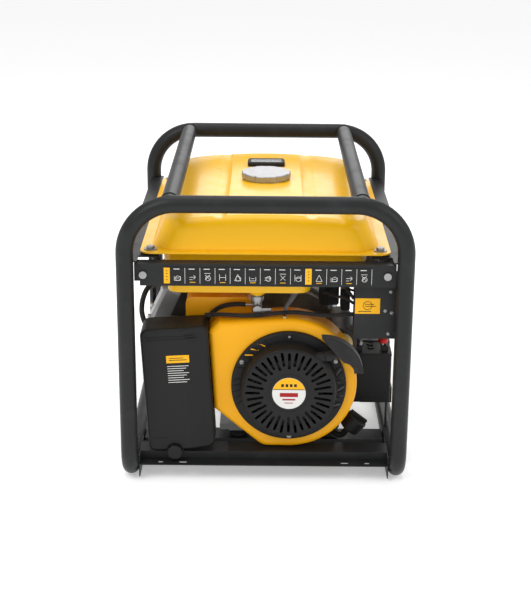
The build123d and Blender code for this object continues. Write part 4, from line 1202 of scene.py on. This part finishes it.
@dataclass
class BatteryTrim:
    """Terminals, boot, strap, plugs and lid seam of the battery."""

    shop: PaintShop
    top: float = 197.0
    strap: tuple[float, float] = (-84.0, -70.0)
    strap_foot: float = 112.0
    strap_wall: float = 1.6

    def build(self) -> None:
        """Make what shows on the battery."""
        low, high = (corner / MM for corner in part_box("battery"))
        posts = [stepped("post", (x, low.y + 18, high.z), UP, 6, 5, [(1.5, 2)], 0.4) for x in (190, 236)]
        self.shop.dress(joined("battery_terminals", posts), Slot.zinc)
        boot = stepped("red_boot", (236, low.y + 18, high.z + 6), UP, 10, 8, [(2.5, 5), (2, 2)], 0.8)
        self.shop.dress(boot, Slot.red_plastic)
        (y0, y1), foot, crown = self.strap, self.strap_foot, self.top + 1.5
        left, right = low.x - self.strap_wall, high.x + self.strap_wall
        strap = [
            plate("strap", (left, y0, self.top - 0.1), (right, y1, crown), 0.4),
            plate("strap", (left, y0, foot), (low.x, y1, crown), 0.4),
            plate("strap", (high.x, y0, foot), (right, y1, crown), 0.4),
        ]
        self.shop.dress(joined("battery_strap", strap), Slot.black_frame)
        plugs = [
            stepped("plug", (213, -118 + 19 * k, self.top), UP, 7, 1.6, [(1.5, -0.8)], 0.4, 24)
            for k in (0, 1, 3, 4, 5)
        ]
        self.shop.dress(joined("battery_plugs", plugs), Slot.black_plastic)
        seam_low = (low.x - 0.4, low.y - 0.4, high.z - 17)
        seam = plate("battery_seam", seam_low, (high.x + 0.4, high.y + 0.4, high.z - 15), 0.4)
        self.shop.dress(seam, Slot.black_plastic)


@dataclass
class AlternatorTrim:
    """Blades and bolts of the alternator's end cover, with the tie rods and bands of its housing."""

    shop: PaintShop
    x: float = 46.0
    z: float = 182.0
    back: float = 262.0
    bolts: int = 4
    bolt_circle: float = 95.0
    slats: int = 24
    rods: int = 4
    rod_circle: float = 116.0
    rod_ends: tuple[float, float] = (-40.0, 211.0)
    band_r: float = 111.6

    def spot(self, radius: float, turn: float, y: float) -> Point:
        """A place at a radius and an angle around the shaft."""
        return (self.x + radius * math.cos(turn), y, self.z + radius * math.sin(turn))

    def build(self) -> None:
        """Make the end face's blades, hub and bolts, then the rods and bands."""
        blades, screws = [], []
        centre = (self.x, self.back, self.z)
        for index in range(self.slats):
            place = facing(centre, BACK, 360 / self.slats * index)
            blades.append(plate("blade", (48, -1.6, 0), (88, 1.6, 2.4), 0.8, place))
        for index in range(self.bolts):
            turn = math.radians(45 + 360 / self.bolts * index)
            spot = self.spot(self.bolt_circle, turn, self.back)
            screws.append(screw("screw", spot, BACK, 5.5))
        blades.append(stepped("hub", centre, BACK, 40, 2, [(4, 2), (10, -1)], 0.6, 48))
        rods = []
        for index in range(self.rods):
            turn = math.radians(45 + 360 / self.rods * index)
            start, end = (self.spot(self.rod_circle, turn, y) for y in self.rod_ends)
            rods.append(between("rod", start, end, 3.4))
            for y, way in ((-38, FRONT), (206, BACK)):
                seat = self.spot(self.rod_circle, turn, y)
                rods.append(stepped("nut", seat, way, 6.4, 5, [(1.4, 1)], 0.4, 6))
        self.shop.dress(joined("alternator_tie_rods", rods), Slot.steel)
        bands = [hoop("band", (self.x, y, self.z), BACK, self.band_r, 2.2) for y in (-36, 4, 156, 204)]
        self.shop.dress(joined("alternator_bands", bands), Slot.cast_aluminium)
        self.shop.dress(joined("alternator_cover_blades", blades), Slot.black_plastic)
        self.shop.dress(joined("alternator_cover_bolts", screws), Slot.zinc)


@dataclass
class EngineTrim:
    """Wiring, clips and dark boxes above the engine, and the bolts of its covers."""

    shop: PaintShop
    lean: float = 25.0
    crank: Point = (46.0, -120.0, 182.0)
    cover_end: float = 284.6
    bolt_spread: float = 33.0
    sleeve_top: Point = (72.0, -256.0, 388.0)
    sleeve_foot: Point = (37.0, -263.0, 327.0)
    starter_end: Point = (150.0, -194.5, 235.0)
    solenoid_end: Point = (192.0, -198.2, 268.0)
    leads: tuple[tuple[float, tuple[Point, ...]], ...] = (
        (3.2, ((165, -270, 352), (150, -258, 372), (128, -236, 388), (118, -206, 380), (122, -190, 368))),
        (2.8, ((165, -268, 342), (148, -254, 352), (138, -238, 340), (120, -214, 346), (112, -196, 340))),
        (3.4, ((124, -182, 372), (100, -190, 392), (98, -214, 380), (96, -238, 384), (98, -262, 400))),
        (3.0, ((186, -210, 330), (172, -206, 322), (176, -204, 300), (186, -202, 292), (191, -200, 276))),
        (2.4, ((186, -226, 352), (172, -216, 350), (160, -200, 344), (156, -188, 352), (155, -176, 340))),
    )

    def sleeve(self) -> None:
        """The tapered braided sleeve that brings a lead down to the harness."""
        top, foot = Vector(self.sleeve_top), Vector(self.sleeve_foot)
        run = (foot - top).length
        deselect()
        bpy.ops.mesh.primitive_cone_add(
            vertices=32, radius1=7.5 * MM, radius2=3.2 * MM, depth=run * MM, location=(0, 0, run * MM / 2)
        )
        piece = take("braided_sleeve")
        bpy.ops.object.transform_apply(location=True, rotation=True, scale=True)
        pick(piece, edges=lambda a, b: abs(a.z - b.z) > run * MM / 2)
        bpy.ops.mesh.subdivide(number_cuts=6)
        pick(piece, faces=lambda f: 0.3 * run * MM < f.center.z < 0.7 * run * MM)
        bpy.ops.transform.translate(value=(0.0022, 0, 0))
        bpy.ops.object.mode_set(mode="OBJECT")
        settle(piece, facing(tuple(top), tuple(foot - top)))
        self.shop.dress(piece, Slot.sleeve)
        ties = [hoop("tie", (36, -261, 320.5), (1, 0.05, -0.1), 4.8, 1.3)]
        ties.append(hoop("tie", (-98, -253, 312.3), (1, -0.1, 0.1), 4.8, 1.3))
        ties.append(plate("tail", (35, -266.6, 312), (38, -265.4, 321), 0.4))
        self.shop.dress(joined("harness_ties", ties), Slot.black_plastic)

    def clip(self) -> None:
        """The plated cable clip on top of the shroud."""
        foot = plate("foot", (27, -277, 305.2), (47, -262, 306.4), 0.4)
        tongue = plate("tongue", (34, -271, 305.6), (40, -269.6, 316), 0.4)
        bolt = stepped("bolt", (43, -270, 306.4), UP, 3.4, 2.6, [(0.8, 0.0)], 0.3, 6)
        self.shop.dress(joined("harness_clip", [foot, tongue, bolt]), Slot.zinc_yellow)

    def boxes(self) -> None:
        """The ignition box and relay in the shadow above the engine, with their leads."""
        body = slab("ignition_box", (104, -198, 314), (142, -168, 372), 1, 5, 1.5)
        ribs = [plate("rib", (106 + 8 * k, -200, 320), (108.5 + 8 * k, -197.6, 366), 0.6) for k in range(5)]
        relay = slab("relay", (146, -190, 300), (164, -160, 340), 1, 4, 1.2)
        self.shop.dress(joined("ignition_box", [body, relay, *ribs]), Slot.black_plastic)
        looms = [cable("lead", points, radius) for radius, points in self.leads]
        self.shop.dress(joined("engine_leads", looms), Slot.black_rubber)
        steps = [(3, 2), (9, -1.2), (5, 3)]
        cap = stepped("starter_end", self.starter_end, FRONT, 21, 2.5, steps, 0.5, 40)
        self.shop.dress(cap, Slot.zinc_yellow)
        x, y, z = self.solenoid_end
        nuts = [
            stepped("nut", (x + dx, y, z + dz), FRONT, 4.2, 4, [(1.6, 4)], 0.4, 6)
            for dx, dz in ((-6, 5), (7, -4))
        ]
        self.shop.dress(joined("solenoid_nuts", nuts), Slot.zinc)

    def cover_bolts(self) -> None:
        """Four flanged bolts in the corners of the rocker cover."""
        lean = math.radians(self.lean)
        axis = Vector((-math.cos(lean), 0, math.sin(lean)))
        across = Vector((math.sin(lean), 0, math.cos(lean)))
        centre = Vector(self.crank) + axis * self.cover_end
        bolts = []
        for side in (-1, 1):
            for rise in (-1, 1):
                spot = centre + across * (self.bolt_spread * rise) + Vector((0, self.bolt_spread * side, 0))
                bolts.append(stepped("bolt", tuple(spot), tuple(axis), 5.2, 1.2, [(0.8, 4.0)], 0.4, 6))
        self.shop.dress(joined("rocker_cover_bolts", bolts), Slot.steel)

    def build(self) -> None:
        """Make the sleeve, the clip, the boxes and the bolts."""
        self.sleeve()
        self.clip()
        self.boxes()
        self.cover_bolts()


@dataclass
class ExhaustTrim:
    """Seams, heat shield, tailpipe collar and spark screen of the muffler."""

    shop: PaintShop
    left: float = -224.0
    right: float = -86.0
    bottom: float = 160.0
    top: float = 322.0
    tail: tuple[float, float] = (-152.3, 200.0)
    tail_bolts: float = 21.0
    back: float = 190.0

    def build(self) -> None:
        """Make the trim of the muffler."""
        seams = [
            slab("seam", (self.left - 3, y, self.bottom - 3), (self.right + 3, y + 3, self.top + 3), 1, 46)
            for y in (16, 135)
        ]
        self.shop.dress(joined("muffler_seams", seams), Slot.hot_steel)
        shield = slab("heat_shield", (self.left - 9, -14, 194), (self.left - 7.6, 168, 290), 0, 12, 0.4)
        cuts = [
            slab("slot", (self.left - 20, y, z), (self.left, y + 16, z + 7), 0, 3.4, 0.02)
            for y in range(-2, 180, 26) for z in range(204, 280, 19)
        ]
        carve(shield, cuts)
        posts = [
            stepped("post", (self.left, y, z), LEFT, 6, 7.6, [(1.5, 2.4)], 0.4, 20)
            for y in (-6, 160) for z in (198, 286)
        ]
        self.shop.dress(joined("heat_shield", [shield, *posts]), Slot.hot_steel)
        x, z = self.tail
        collar = stepped("collar", (x, self.back, z), BACK, 26, 3, [(6, 1.5)], 0.5, 48)
        r, y = self.tail_bolts, self.back + 3
        spots = [(x + r * math.cos(a), y, z + r * math.sin(a)) for a in (0.5, 2.6, 4.7)]
        bolts = [stepped("bolt", spot, BACK, 3.6, 3, [(0.8, 0)], 0.3, 6) for spot in spots]
        self.shop.dress(joined("tailpipe_collar", [collar]), Slot.hot_steel)
        self.shop.dress(joined("tailpipe_bolts", bolts), Slot.steel)
        rings = [hoop("ring", (x, self.back + 34, z), BACK, r, 0.9) for r in (14.2, 9.5, 5)]
        self.shop.dress(joined("spark_screen", rings), Slot.steel)


@dataclass
class FrameTrim:
    """Weld beads where the top tubes meet the hoops."""

    shop: PaintShop
    top_x: float = 172.0
    bar_y: float = 311.6
    bar_z: float = 546.0
    bead_r: float = 16.3
    bead_wire: float = 1.5

    def build(self) -> None:
        """Run a bead round each end of the two top tubes."""
        beads = [
            hoop(
                "bead", (side * self.top_x, end * self.bar_y, self.bar_z), BACK, self.bead_r, self.bead_wire
            )
            for side in (-1, 1) for end in (-1, 1)
        ]
        self.shop.dress(joined("frame_weld_beads", beads), Slot.black_frame)


@dataclass
class PanelTrim:
    """Small parts of the side panel: lid bosses and tabs, terminal caps, key ring, meter and earth nut."""

    shop: PaintShop
    face: float = 250.0
    level: float = 334.0
    meter: Point = (255.8, -212.0, 331.0)
    scale_r: float = 14.0

    def build(self) -> None:
        """Make the fittings' trim."""
        for name, y in (("socket_lid_front", 12.0), ("socket_lid_rear", 92.0)):
            seat, steps = (258.4, y, self.level), [(3, -1.0), (9, 1.4)]
            boss = stepped(f"{name}_boss", seat, RIGHT, 19, 1.6, steps, 0.4, 48)
            self.shop.dress(boss, Slot.socket_blue, name)
            tab = plate(f"{name}_tab", (257.6, y - 9, 303.5), (260.4, y + 9, 309), 0.8)
            self.shop.dress(joined(f"{name}_tab", [tab]), Slot.socket_blue, name)
        caps = (
            ("terminal_cap_front", -110.0, Slot.red_plastic), ("terminal_cap_rear", -78.0, Slot.print_black),
        )
        for name, y, slot in caps:
            cap = stepped(name, (260.5, y, self.level), RIGHT, 9.2, 5, [(1.6, 3.4), (2.2, -0.8)], 0.7, 12)
            self.shop.dress(cap, slot)
        seat, steps = (self.face, -262, self.level), [(3, 1.2), (2.6, -1.4)]
        ring = stepped("key_ring", seat, RIGHT, 15, 2.2, steps, 0.5, 40)
        self.shop.dress(ring, Slot.zinc)
        dial = plate("meter_face", (255.2, -227, 329), (255.7, -197, 350), 0.2, None, 1)
        self.shop.dress(joined("meter_face", [dial]), Slot.print_white)
        ticks = []
        for index in range(9):
            turn = math.radians(40 + 12.5 * index)
            x, y, z = self.meter
            spot = (x, y + self.scale_r * math.cos(turn), z + self.scale_r * math.sin(turn))
            place = facing(spot, RIGHT)
            ticks.append(mark((-0.3, -0.3, 0), (0.3, 0.3, 0.3), 0.05, place))
        needle = mark((255.8, -212.4, 331), (256.1, -211.6, 344))
        self.shop.dress(joined("meter_marks", [*ticks, needle]), Slot.print_black)
        wing = [plate("wing", (262, y - 2.5, 311), (264, y + 2.5, 317), 0.6) for y in (-47, -41)]
        nut = stepped("nut", (259, -44, 314), RIGHT, 5.6, 4, [(0.9, 0.6)], 0.4, 6)
        self.shop.dress(joined("earth_nut", [nut, *wing]), Slot.zinc_yellow)


def main() -> None:
    """Build the generator in order: studio, finishes, then each sub-assembly's detail."""
    logging.basicConfig(level=logging.INFO, format="%(name)s: %(message)s")
    Studio().build()
    shop = PaintShop()
    shop.dress_nodes()
    makers = (
        InstructionStrip, RecoilTrim, AirCleanerTrim, ControlTrim, BatteryTrim, AlternatorTrim,
        EngineTrim, ExhaustTrim, FrameTrim, PanelTrim,
    )
    for maker in makers:
        maker(shop).build()
    deselect()


if __name__ == "__main__":
    main()
